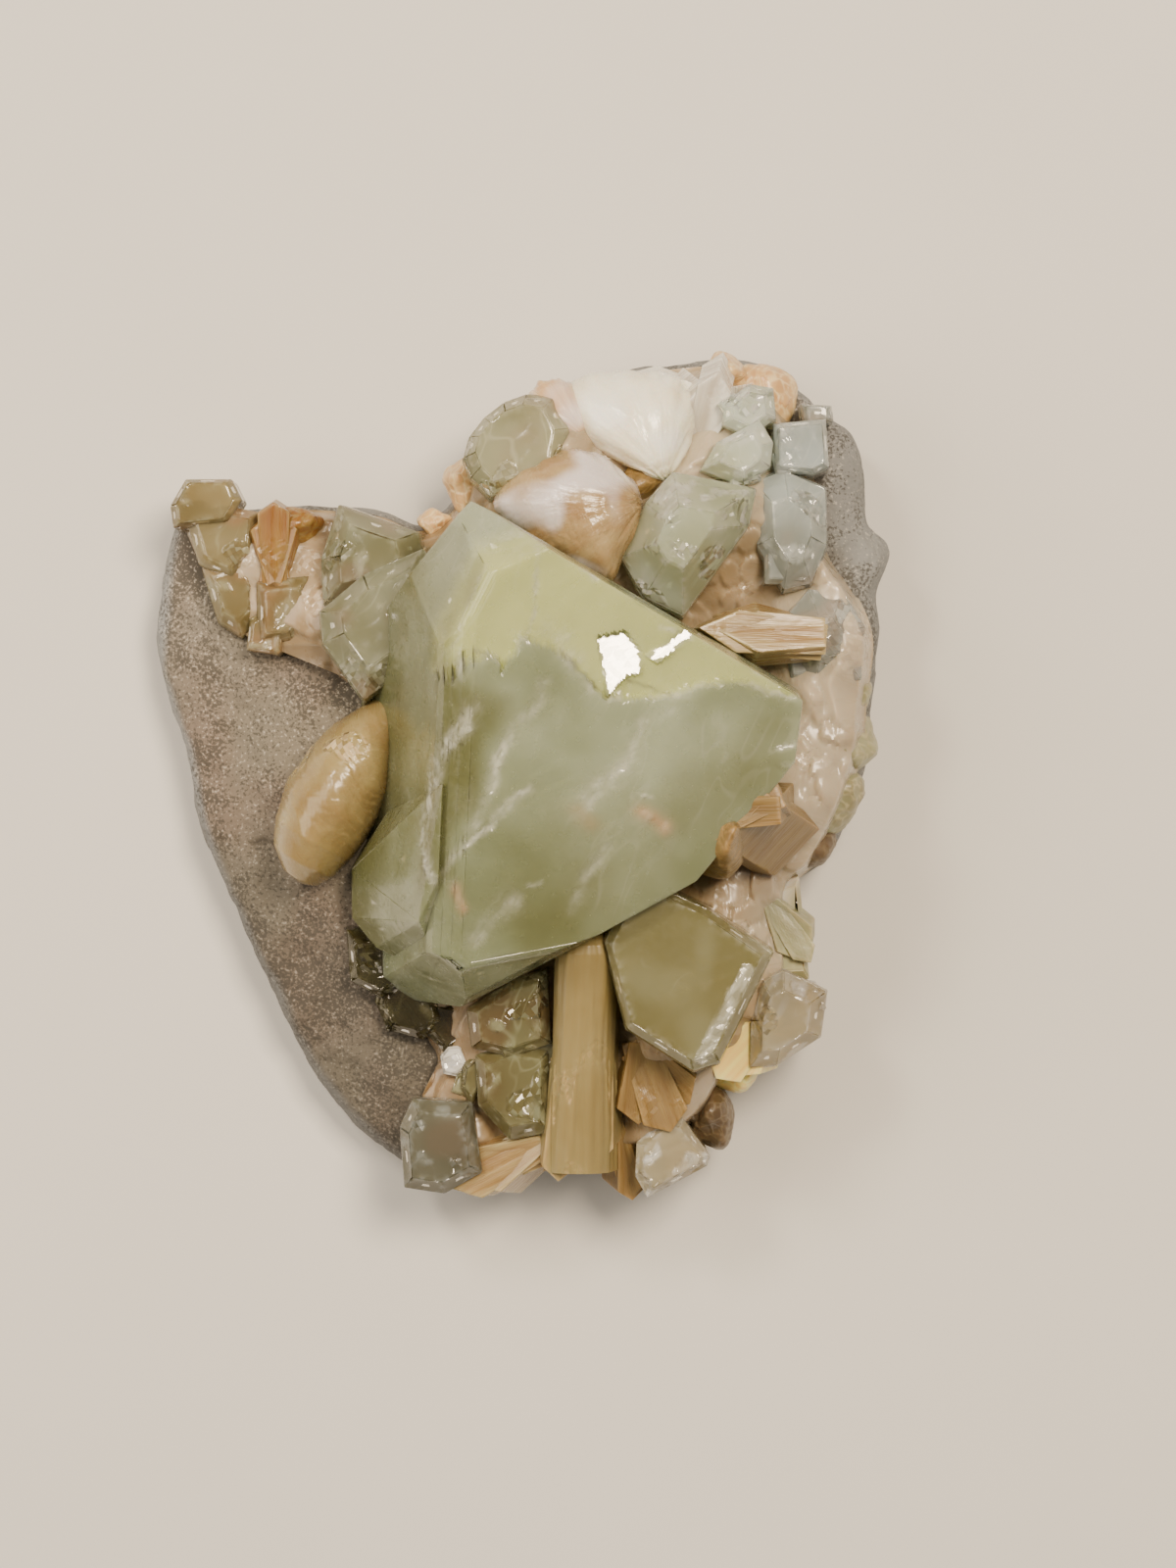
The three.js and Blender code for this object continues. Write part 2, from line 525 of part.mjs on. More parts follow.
const rightOrange = together(
  sheaf({ at: [33.4, -3.4, 32], azimuth: 202, pitch: -4, roll: 10, count: 3, spread: 40, length: 12.6,
    width: 4.8, thick: 17, point: 1.8 }),
  lump({ at: [25, -8.4, 29], radii: [4.4, 4.2, 13.5], azimuth: 20, knobs: 0.1 }),
);

const lowerLeftStilbite = together(
  sheaf({ at: [3.4, -46.4, 16], azimuth: 207, pitch: -6, count: 3, spread: 20, length: 14, width: 5.8,
    thick: 8, point: 3 }),
  lump({ at: [-4.6, -51.3, 13], radii: [4.8, 2.9, 6], azimuth: 18 }),
);

const bottomFan = together(
  sheaf({ at: [14.6, -33, 20], azimuth: -70, pitch: -4, count: 3, spread: 50, length: 13, width: 6, thick: 9,
    point: 2 }),
  sheaf({ at: [12.4, -43, 15], azimuth: -80, pitch: -6, count: 2, spread: 12, length: 12.8, width: 3.6,
    thick: 7, point: 1.4 }),
);

const bottomRightStilbite = together(
  lump({ at: [24.8, -44.3, 13], radii: [2.9, 4.1, 6], azimuth: 12, knobs: 0.14 }),
  lump({ at: [20.8, -40.6, 13.5], radii: [4, 3.2, 7], azimuth: -30, knobs: 0.16 }),
);

const yellowStilbite = together(
  sheaf({ at: [32.4, -29.4, 18], azimuth: 230, pitch: -4, count: 3, spread: 34, length: 12, width: 5.4,
    thick: 8, point: 1.6 }),
  lump({ at: [27.6, -37.6, 13], radii: [4, 2.8, 6.6], azimuth: 40, knobs: 0.14 }),
);

const creamStilbite = together(
  blocky([[27.4, -16.6], [32, -13.8], [35.6, -12.6], [35.4, -19], [37, -26.2], [33, -26.4], [30, -22]],
    [[18.8, 0.8], [17.4, 0.97], [SEAT, 1.02]], [0.02, 0.05]),
  sheaf({ at: [31, -15, 18], azimuth: -56, pitch: 0, count: 3, spread: 26, length: 11, width: 3.4, thick: 4,
    point: 1.6 }),
);

// ---- assembly ------------------------------------------------------------------

// Pieces in the order in which they keep their full form; a later one gives way to those before it.
const PIECES = [
  ['matrix_rock', 'rock', rockBody],
  ['right_orange_stilbite', 'orange', rightOrange],
  ['large_apophyllite', 'green', mainBody],
  ['block_apophyllite', 'green', cubeApophyllite],
  ['upright_stilbite_blade', 'orange', columnStilbite],
  ['left_stilbite_bow', 'orange', bowBody],
  ['silky_stilbite_blade', 'peach', silkyBlade],
  ['upper_apophyllites', 'paleGreen', upperApophyllite],
  ['pearly_stilbite_fan', 'pearly', pearlyFan],
  ['round_apophyllite', 'paleGreen', roundApophyllite],
  ['peach_top_stilbite', 'peach', topLeftStilbite],
  ['white_stilbite_fan', 'pearly', whiteFan],
  ['grey_stilbite_blades', 'pearly', greyBlades],
  ['small_orange_stilbite', 'orange', smallOrange],
  ['left_apophyllites', 'paleGreen', leftApophyllites],
  ['band_stilbite', 'orange', bandStilbite],
  ['corner_apophyllites', 'glassy', cornerApophyllites],
  ['notch_stilbite', 'peach', notchStilbite],
  ['right_apophyllites', 'glassy', rightApophyllites],
  ['yellow_apophyllite', 'glassy', yellowApophyllite],
  ['striated_apophyllite', 'glassy', striatedCrystal],
  ['dark_apophyllite', 'glassy', darkApophyllite],
  ['tiny_apophyllite', 'glassy', tinyApophyllite],
  ['lower_apophyllites', 'glassy', lowerApophyllites],
  ['under_apophyllites', 'glassy', underApophyllites],
  ['bottom_stilbite_fan', 'orange', bottomFan],
  ['lower_left_stilbite', 'peach', lowerLeftStilbite],
  ['yellow_stilbite', 'peach', yellowStilbite],
  ['cream_stilbite', 'cream', creamStilbite],
  ['bottom_right_stilbite', 'violet', bottomRightStilbite],
  ['right_stilbite_lumps', 'cream', rightLumps],
  ['violet_crust', 'violet', violetCrust],
  ['peach_rim_stilbite', 'peach', peachRim],
];

/** Whether the boxes of two solids meet. */
function near(a, b) {
  const p = a.boundingBox();
  const q = b.boundingBox();
  return [0, 1, 2].every((i) => p.min[i] < q.max[i] && q.min[i] < p.max[i]);
}

/** The largest of the separate bodies that a cut has left. */
function largest(body) {
  return body.decompose().sort((a, b) => b.volume() - a.volume())[0];
}

/** Named mesh of a solid in its own colour. */
function meshOf(name, tint, body) {
  const { vertProperties, triVerts } = body.getMesh();
  const geometry = new THREE.BufferGeometry();
  geometry.setAttribute('position', new THREE.BufferAttribute(new Float32Array(vertProperties), 3));
  geometry.setIndex(Array.from(triVerts));
  const [r, g, b, roughness] = COLOURS[tint];
  const color = new THREE.Color(r, g, b);
  const material = new THREE.MeshStandardMaterial({ color, roughness, metalness: 0 });
  material.name = tint;
  const mesh = new THREE.Mesh(geometry, material);
  mesh.name = name;
  return mesh;
}

/** The whole cluster. */
function cluster() {
  const group = new THREE.Group();
  group.name = 'apophyllite_cluster';
  const keepOut = [];
  PIECES.forEach(([name, tint, make]) => {
    let body = make(0);
    keepOut.filter((other) => near(body, other)).forEach((other) => {
      body = body.subtract(other);
    });
    group.add(meshOf(name, tint, largest(largest(body).simplify(FINEST))));
    keepOut.push(make(GAP));
  });
  return group;
}

export default cluster();
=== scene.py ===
"""Apophyllite cluster with stilbite on basalt: surfaces, finishes, floor, light and camera.

All sizes in the classes are millimetres in the frame of the CAD model; meshes are made in metres.
"""
import itertools
import logging
import math
from dataclasses import dataclass, field, replace
from enum import Enum

import bpy
import numpy as np
from mathutils import Vector
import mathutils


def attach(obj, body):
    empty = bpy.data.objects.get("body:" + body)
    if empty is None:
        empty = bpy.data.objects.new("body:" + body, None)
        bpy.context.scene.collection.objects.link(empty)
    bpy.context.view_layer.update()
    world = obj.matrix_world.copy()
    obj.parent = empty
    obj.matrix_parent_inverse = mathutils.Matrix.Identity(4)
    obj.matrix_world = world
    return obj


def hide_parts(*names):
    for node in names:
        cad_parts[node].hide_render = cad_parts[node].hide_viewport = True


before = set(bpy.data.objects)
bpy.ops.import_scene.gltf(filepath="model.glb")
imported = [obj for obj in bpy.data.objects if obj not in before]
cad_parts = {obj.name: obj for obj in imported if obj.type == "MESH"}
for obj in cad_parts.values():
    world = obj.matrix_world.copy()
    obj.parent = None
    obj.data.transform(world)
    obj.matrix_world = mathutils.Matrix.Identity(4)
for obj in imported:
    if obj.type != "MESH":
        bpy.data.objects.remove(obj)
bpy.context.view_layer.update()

LOG = logging.getLogger("cluster")
Array = np.ndarray
Point = tuple[float, float, float]
Plan = tuple[float, float]

MM = 0.001
SEAT = 9.0  # height below which every crystal has ended on the rock
ROCK_TOP = 16.0
ROCK_RIM = 12.5
LEDGE_DROP = 1.1  # how far the broken part of the main crystal's top lies under the rest
# width of the band along an edge that is painted paler, as wear and as a painted highlight
WEAR_AND_HIGHLIGHT_WIDTH = 0.3  # distance from an edge over which it looks worn
SHORT_SIDE = 0.05  # a shorter side of a face comes from two corners that nearly coincide
SAME_PLANE = 0.02  # planes nearer than this are one plane
HASH_WAY = np.array([127.1, 311.7, 74.7])  # turns the numbers of a cell into one angle
HASH_GAIN = 43758.5453  # so large that the fraction of the sine times it looks random
APOPHYLLITE_IOR = 1.535
STILBITE_IOR = 1.5


# ---- arrays ------------------------------------------------------------------


def ease(x: Array, low: float, high: float) -> Array:
    """Smooth step of x: 0 below low, 1 above high, a cubic between.

    Args:
        x: values.
        low: where the step starts.
        high: where it ends.

    Returns:
        Values from 0 to 1.
    """
    t = np.clip((x - low) / (high - low), 0.0, 1.0)
    return t * t * (3.0 - 2.0 * t)


def chance(i: int, j: int) -> float:
    """Repeatable value between 0 and 1 for a pair of whole numbers."""
    s = math.sin(i * HASH_WAY[0] + j * HASH_WAY[1]) * HASH_GAIN
    return s - math.floor(s)


def lattice(numbers: Array, seed: float) -> Array:
    """Repeatable value from 0 to 1 for whole-number cells: the fraction of a large sine.

    Args:
        numbers: cell numbers, last axis 3.
        seed: which set of values.

    Returns:
        One value per cell.
    """
    wave = np.sin(numbers @ HASH_WAY + 19.19 * seed) * HASH_GAIN
    return wave - np.floor(wave)


def noise(points: Array, size: float, seed: float = 0.0, octaves: int = 1) -> Array:
    """Smooth noise: the cubic blend of the eight corners of each cell, halved per octave.

    Args:
        points: places in mm, last axis 3.
        size: width of a cell in mm.
        seed: which noise.
        octaves: how many finer layers are added.

    Returns:
        Values from about -1 to 1.
    """
    total = np.zeros(points.shape[:-1])
    reach = 0.0
    for octave in range(octaves):
        place = points * (2.0 ** octave / size) + 31.7 * seed
        cell = np.floor(place)
        part = place - cell
        part = part * part * (3.0 - 2.0 * part)
        for corner in itertools.product((0.0, 1.0), repeat=3):
            step = np.array(corner)
            share = np.prod(np.where(step > 0, part, 1.0 - part), axis=-1)
            total += share * (2.0 * lattice(cell + step, seed + octave) - 1.0) / 2.0 ** octave
        reach += 0.5 ** octave
    return total / reach


def cells(points: Array, size: float, seed: float = 0.0) -> tuple[Array, Array, Array]:
    """Cellular pattern: distances to the nearest two of one scattered seed per cell.

    Args:
        points: places in mm, last axis 3.
        size: width of a cell in mm.
        seed: which pattern.

    Returns:
        Nearest distance, second distance (both in cells) and a value of the nearest cell.
    """
    place = points / size + 17.3 * seed
    home = np.floor(place)
    nearest = np.full(points.shape[:-1], 9.0)
    second = np.full(points.shape[:-1], 9.0)
    value = np.zeros(points.shape[:-1])
    for shift in itertools.product((-1.0, 0.0, 1.0), repeat=3):
        cell = home + np.array(shift)
        spot = cell + np.stack([lattice(cell, seed + k) for k in (1.0, 2.0, 3.0)], axis=-1)
        gap = np.linalg.norm(place - spot, axis=-1)
        closer = gap < nearest
        second = np.where(closer, nearest, np.minimum(second, gap))
        value = np.where(closer, lattice(cell, seed + 4.0), value)
        nearest = np.where(closer, gap, nearest)
    return nearest, second, value


def frame_at(at: Point, azimuth: float, pitch: float = 0.0, roll: float = 0.0) -> Array:
    """Frame whose X runs to the azimuth in plan and rises by the pitch, rolled about it.

    Args:
        at: origin.
        azimuth: degrees in plan from +X.
        pitch: degrees upward.
        roll: degrees about the frame's own X.

    Returns:
        A 4 by 4 matrix: turn about Z, then tilt about Y, then roll about X.
    """
    a, p, r = (math.radians(v) for v in (azimuth, -pitch, roll))
    about_z = np.array([[math.cos(a), -math.sin(a), 0], [math.sin(a), math.cos(a), 0], [0, 0, 1]])
    about_y = np.array([[math.cos(p), 0, math.sin(p)], [0, 1, 0], [-math.sin(p), 0, math.cos(p)]])
    about_x = np.array([[1, 0, 0], [0, math.cos(r), -math.sin(r)], [0, math.sin(r), math.cos(r)]])
    matrix = np.eye(4)
    matrix[:3, :3] = about_z @ about_y @ about_x
    matrix[:3, 3] = at
    return matrix


def along_line(points: Array, line: list[Plan]) -> tuple[Array, Array]:
    """Distance in plan to a broken line, and on which side of it each point lies.

    Args:
        points: places, last axis 3.
        line: corners of the line in plan.

    Returns:
        Distance, and +1 on the left of the line's way or -1 on its right.
    """
    best = np.full(points.shape[:-1], 1e9)
    side = np.ones(points.shape[:-1])
    for (ax, ay), (bx, by) in zip(line[:-1], line[1:]):
        run = np.array([bx - ax, by - ay])
        rel = points[..., :2] - np.array([ax, ay])
        t = np.clip(rel @ run / (run @ run), 0.0, 1.0)
        gap = np.linalg.norm(rel - t[..., None] * run, axis=-1)
        turn = np.sign(run[0] * rel[..., 1] - run[1] * rel[..., 0])
        closer = gap < best
        side = np.where(closer, turn, side)
        best = np.minimum(best, gap)
    return best, side


def depth_inside(points: Array, outline: list[Plan]) -> Array:
    """Distance in plan from an outline, above 0 inside it and below 0 outside.

    Args:
        points: places, last axis 3.
        outline: corners of a closed outline in plan.

    Returns:
        Signed distance: the distance to the nearest side, signed by how many sides are crossed.
    """
    loop = list(outline) + [outline[0]]
    gap, _ = along_line(points, loop)
    x, y = points[..., 0], points[..., 1]
    inside = np.zeros(x.shape, bool)
    for (ax, ay), (bx, by) in zip(loop[:-1], loop[1:]):
        crosses = (ay > y) != (by > y)
        at = ax + (y - ay) * (bx - ax) / (by - ay if by != ay else 1e-9)
        inside ^= crosses & (x < at)
    return np.where(inside, gap, -gap)


def closed_curve(outline: list[Plan], around: int) -> Array:
    """Closed curve through an outline: cubic pieces with square-root spacing (centripetal).

    Args:
        outline: corners in plan, in order.
        around: how many points.

    Returns:
        Points in plan, around by 2.
    """
    plan = np.array(outline, float)
    count = len(plan)
    at = np.arange(around) / around * count
    first = np.floor(at).astype(int)
    p = [plan[(first + k) % count] for k in (-1, 0, 1, 2)]
    gap = [np.sqrt(np.linalg.norm(p[k + 1] - p[k], axis=1))[:, None] for k in range(3)]
    into = (p[1] - p[0]) / gap[0] - (p[2] - p[0]) / (gap[0] + gap[1]) + (p[2] - p[1]) / gap[1]
    out = (p[2] - p[1]) / gap[1] - (p[3] - p[1]) / (gap[1] + gap[2]) + (p[3] - p[2]) / gap[2]
    into, out = into * gap[1], out * gap[1]
    t = (at - first)[:, None]
    return (p[1] + into * t + (-3 * p[1] + 3 * p[2] - 2 * into - out) * t ** 2
            + (2 * p[1] - 2 * p[2] + into + out) * t ** 3)


# ---- surfaces ----------------------------------------------------------------


@dataclass
class Skin:
    """One closed surface: its points, its faces and what its material reads at each point.

    grain holds, on a stilbite, across and along in mm, for lines that follow the piece, and on a
    clear crystal dark lines and peach stains; its third value is 1 on an edge, which is painted paler:
    a painted highlight, on clear crystals also wear. mark holds white fracture with painted glints and
    a painted reflection in places, mirror gloss, zone and depth of tone, or on the rock crack, painted
    shade towards the lower left, rim and how near the crust is, which brings a painted shadow.
    """

    points: Array
    quads: Array
    triangles: Array
    grain: Array
    mark: Array

    def moved(self, matrix: Array) -> "Skin":
        """The same surface moved.

        Args:
            matrix: a 4 by 4 matrix.

        Returns:
            The moved surface.
        """
        points = self.points @ matrix[:3, :3].T + matrix[:3, 3]
        return Skin(points, self.quads, self.triangles, self.grain, self.mark)

    def outward(self) -> "Skin":
        """The same surface with its faces looking out: turned over where its volume is negative.

        Returns:
            The surface, or this one where its faces look out already.
        """
        sides = np.concatenate([self.triangles, self.quads[:, [0, 1, 2]], self.quads[:, [0, 2, 3]]])
        a, b, c = (self.points[sides[:, k]] for k in range(3))
        if np.einsum("ij,ij->i", a, np.cross(b, c)).sum() < 0:
            return Skin(self.points, self.quads[:, ::-1], self.triangles[:, ::-1], self.grain, self.mark)
        return self


def joined(skins: list[Skin]) -> Skin:
    """Several surfaces as one set of points and faces.

    Args:
        skins: the surfaces.

    Returns:
        One surface with the faces renumbered.
    """
    starts = np.cumsum([0] + [len(s.points) for s in skins[:-1]])
    return Skin(
        np.concatenate([s.points for s in skins]),
        np.concatenate([s.quads + k for s, k in zip(skins, starts)]),
        np.concatenate([s.triangles + k for s, k in zip(skins, starts)]),
        np.concatenate([s.grain for s in skins]),
        np.concatenate([s.mark for s in skins]),
    )


def tube(rings: Array, grain: Array, mark: Array | None = None) -> Skin:
    """Closed surface through rings of points, with a point at the middle of each end ring.

    Point (r, c) is joined to (r, c + 1) and (r + 1, c); columns wrap round.

    Args:
        rings: places, rings by columns by 3.
        grain: values kept at each place, same shape.
        mark: further values, same shape, or none.

    Returns:
        The surface, facing outward.
    """
    count, around = rings.shape[:2]
    marks = np.zeros(rings.shape[:2] + (4,)) if mark is None else mark
    index = np.arange(count * around).reshape(count, around)
    right = np.roll(index, -1, axis=1)
    quads = np.stack([index[:-1], right[:-1], right[1:], index[1:]], axis=-1).reshape(-1, 4)
    low, high = count * around, count * around + 1
    ends = np.concatenate([
        np.stack([np.full(around, low), right[0], index[0]], axis=-1),
        np.stack([np.full(around, high), index[-1], right[-1]], axis=-1),
    ])
    packed = [np.concatenate([a.reshape(-1, a.shape[-1]), a[0].mean(0)[None], a[-1].mean(0)[None]])
              for a in (rings, grain, marks)]
    return Skin(packed[0], quads, ends, packed[1], packed[2]).outward()


def meeting_points(normals: Array, offsets: Array) -> Array:
    """Corners of the convex body inside a set of planes.

    Every three planes meet in a point; it is a corner where no plane leaves it outside.

    Args:
        normals: outward normals, planes by 3.
        offsets: distance of each plane along its normal.

    Returns:
        The corners, each once.
    """
    trios = np.array(list(itertools.combinations(range(len(normals)), 3)))
    basis = normals[trios]
    firm = np.abs(np.linalg.det(basis)) > 1e-4
    spots = np.linalg.solve(basis[firm], offsets[trios[firm]][..., None])[..., 0]
    spots = spots[(spots @ normals.T <= offsets + 1e-4).all(axis=1)]
    return np.unique(np.round(spots, 4), axis=0)


def hull_faces(corners: Array) -> list[tuple[Array, Array]]:
    """Faces of the convex body that wraps the corners.

    A plane through three corners is a face where no corner lies outside it.

    Args:
        corners: places, many by 3.

    Returns:
        For each face its outward normal and its corners in order round it.
    """
    trios = np.array(list(itertools.combinations(range(len(corners)), 3)))
    a, b, c = (corners[trios[:, k]] for k in range(3))
    normals = np.cross(b - a, c - a)
    sizes = np.linalg.norm(normals, axis=1)
    wide = sizes > 1e-2
    normals = normals[wide] / sizes[wide, None]
    offsets = np.einsum("ij,ij->i", normals, a[wide])
    flip = np.where(offsets < normals @ corners.mean(0), -1.0, 1.0)
    normals, offsets = normals * flip[:, None], offsets * flip
    outer = (corners @ normals.T <= offsets + 2e-3).all(axis=0)
    faces: list[tuple[Array, Array]] = []
    known: list[tuple[Array, float]] = []
    for normal, offset in zip(normals[outer], offsets[outer]):
        if any(normal @ n > 0.99995 and abs(offset - d) < SAME_PLANE for n, d in known):
            continue
        known.append((normal, offset))
        ring = corners[np.abs(corners @ normal - offset) < SAME_PLANE]
        side = np.cross(normal, [0.31, 0.87, 0.38])
        side /= np.linalg.norm(side)
        rel = ring - ring.mean(0)
        turn = np.arctan2(rel @ np.cross(normal, side), rel @ side)
        faces.append((normal, ring[np.argsort(turn)]))
    return faces


def face_grid(normal: Array, ring: Array, spacing: float) -> tuple[Array, Array, Array, Array]:
    """Grid over a flat face: rays from its middle to points along its sides, cut into rings.

    Point (s, e) lies at middle + s * (side point e - middle). A narrow face has fewer rings.

    Args:
        normal: the face's normal.
        ring: its corners in order.
        spacing: distance between points along the sides.

    Returns:
        Points, quads, triangles and each point's distance to the nearest side.
    """
    nexts = np.roll(ring, -1, axis=0)
    spans = np.linalg.norm(nexts - ring, axis=1)
    counts = np.maximum(1, np.round(spans / spacing + 1e-4).astype(int))
    border = np.concatenate([
        p + (q - p) * (np.arange(n) / n)[:, None] for p, q, n in zip(ring, nexts, counts)])
    middle = ring.mean(0)
    inward = np.cross(normal, nexts - ring)
    inward /= np.maximum(np.linalg.norm(inward, axis=1, keepdims=True), 1e-9)
    firm = spans > SHORT_SIDE
    width = min(abs((middle - p) @ m) for p, m in zip(ring[firm], inward[firm]))
    reach = np.linalg.norm(border - middle, axis=1).max()
    depth = min(reach, max(0.4 * reach, 2.2 * width))
    count = max(2, int(math.ceil(depth / spacing)))
    share = np.concatenate([np.arange(1, count) / count, [1.0 - 0.3 / count, 1.0]])
    points = middle + share[:, None, None] * (border - middle)
    rings, around = points.shape[:2]
    index = np.arange(rings * around).reshape(rings, around)
    right = np.roll(index, -1, axis=1)
    quads = np.stack([index[:-1], right[:-1], right[1:], index[1:]], axis=-1).reshape(-1, 4)
    centre = np.stack([np.full(around, rings * around), index[0], right[0]], axis=-1)
    flat = np.concatenate([points.reshape(-1, 3), middle[None]])
    gaps = np.stack([(flat - p) @ m for p, m in zip(ring[firm], inward[firm])], axis=-1)
    return flat, quads, centre, np.abs(gaps).min(axis=-1)


@dataclass
class Relief:
    """How a faceted body is worn: chipped edges, wavy faces and growth steps, in mm."""

    seed: float = 0.0
    spacing: float = 0.6
    chip: float = 0.16
    wave: float = 0.12
    steps: float = 0.06
    groove: float = 0.0

    def height(self, points: Array, normal: Array) -> Array:
        """Height over a face: long waves, parallel growth steps in patches and grooves along local X.

        The steps are a saw of the distance along a direction in the face, bent a little by noise.

        Args:
            points: places on the face, in the body's own frame.
            normal: the face's normal.

        Returns:
            Height in mm at each place.
        """
        long = self.wave * noise(points, 7.0, self.seed, 2)
        way = np.cross(normal, [0.83, 0.31 + 0.7 * chance(int(self.seed), 1), 0.4])
        width = 1.6 + 1.8 * chance(int(self.seed), 2)
        level = (points @ way) / width + 0.5 * noise(points, 4.0, self.seed + 4.0)
        saw = level - np.floor(level)
        patch = ease(noise(points, 5.5, self.seed + 5.0), 0.0, 0.5)
        height = long + self.steps * patch * (saw - ease(saw, 0.0, 0.35))
        if self.groove > 0:
            across = points * np.array([0.05, 1.0, 1.0])
            height = height + self.groove * (noise(across, 0.7, self.seed + 9.0, 2)
                                             + 0.7 * noise(across, 2.1, self.seed + 11.0))
        return height

    def edge(self, points: Array) -> Array:
        """How far an edge is worn inward: a base wear plus rarer larger chips.

        Args:
            points: places on an edge.

        Returns:
            Depth in mm at each place.
        """
        rough = noise(points, 1.1, self.seed + 2.0, 2)
        chipped = ease(noise(points, 3.2, self.seed + 3.0), 0.25, 0.7)
        return self.chip * (0.55 + 0.45 * rough + 1.6 * chipped)


def faceted(corners: Array, relief: Relief) -> Skin:
    """Convex crystal over its corners, with worn edges and uneven faces.

    Each face is a grid raised along its normal by the relief, which fades out at the sides;
    side points move toward the body's middle by the edge wear, the same for both faces.

    Args:
        corners: places the body wraps.
        relief: the wear.

    Returns:
        The welded, closed surface.
    """
    heart = corners.mean(0)
    points: list[Array] = []
    quads: list[Array] = []
    triangles: list[Array] = []
    grain: list[Array] = []
    start = 0
    for normal, ring in hull_faces(corners):
        spots, fours, threes, gap = face_grid(normal, ring, relief.spacing)
        height = relief.height(spots, normal) * ease(gap, 0.0, 1.4 * relief.spacing)
        inward = heart - spots
        inward /= np.maximum(np.linalg.norm(inward, axis=1, keepdims=True), 1e-6)
        wear = np.where(gap < 1e-3, relief.edge(spots), 0.0)
        points.append(spots + normal * height[:, None] + inward * wear[:, None])
        across = spots[:, 1] + spots[:, 2]
        # third value: nearness to an edge, painted paler as wear and as a painted highlight
        grain.append(np.stack([across, spots[:, 0], np.exp(-gap / WEAR_AND_HIGHLIGHT_WIDTH)], axis=-1))
        quads.append(fours + start)
        triangles.append(threes + start)
        start += len(spots)
    return welded(np.concatenate(points), np.concatenate(quads), np.concatenate(triangles),
                  np.concatenate(grain))


def welded(points: Array, quads: Array, triangles: Array, grain: Array) -> Skin:
    """Surface with points in the same place made one, and faces without area left out.

    Args:
        points: places, some of them repeated.
        quads: four-sided faces.
        triangles: three-sided faces.
        grain: values kept at the points.

    Returns:
        The surface, facing outward.
    """
    _, first, where = np.unique(np.round(points, 3), axis=0, return_index=True, return_inverse=True)
    where = where.reshape(-1)
    fours, threes = where[quads], where[triangles]
    split = np.sort(fours, axis=1)
    whole = (np.diff(split, axis=1) > 0).all(axis=1)
    split = np.sort(threes, axis=1)
    full = (np.diff(split, axis=1) > 0).all(axis=1)
    bare = points[first]
    return Skin(bare, fours[whole], threes[full], grain[first], np.zeros((len(bare), 4))).outward()


# ---- forms of single crystals --------------------------------------------------


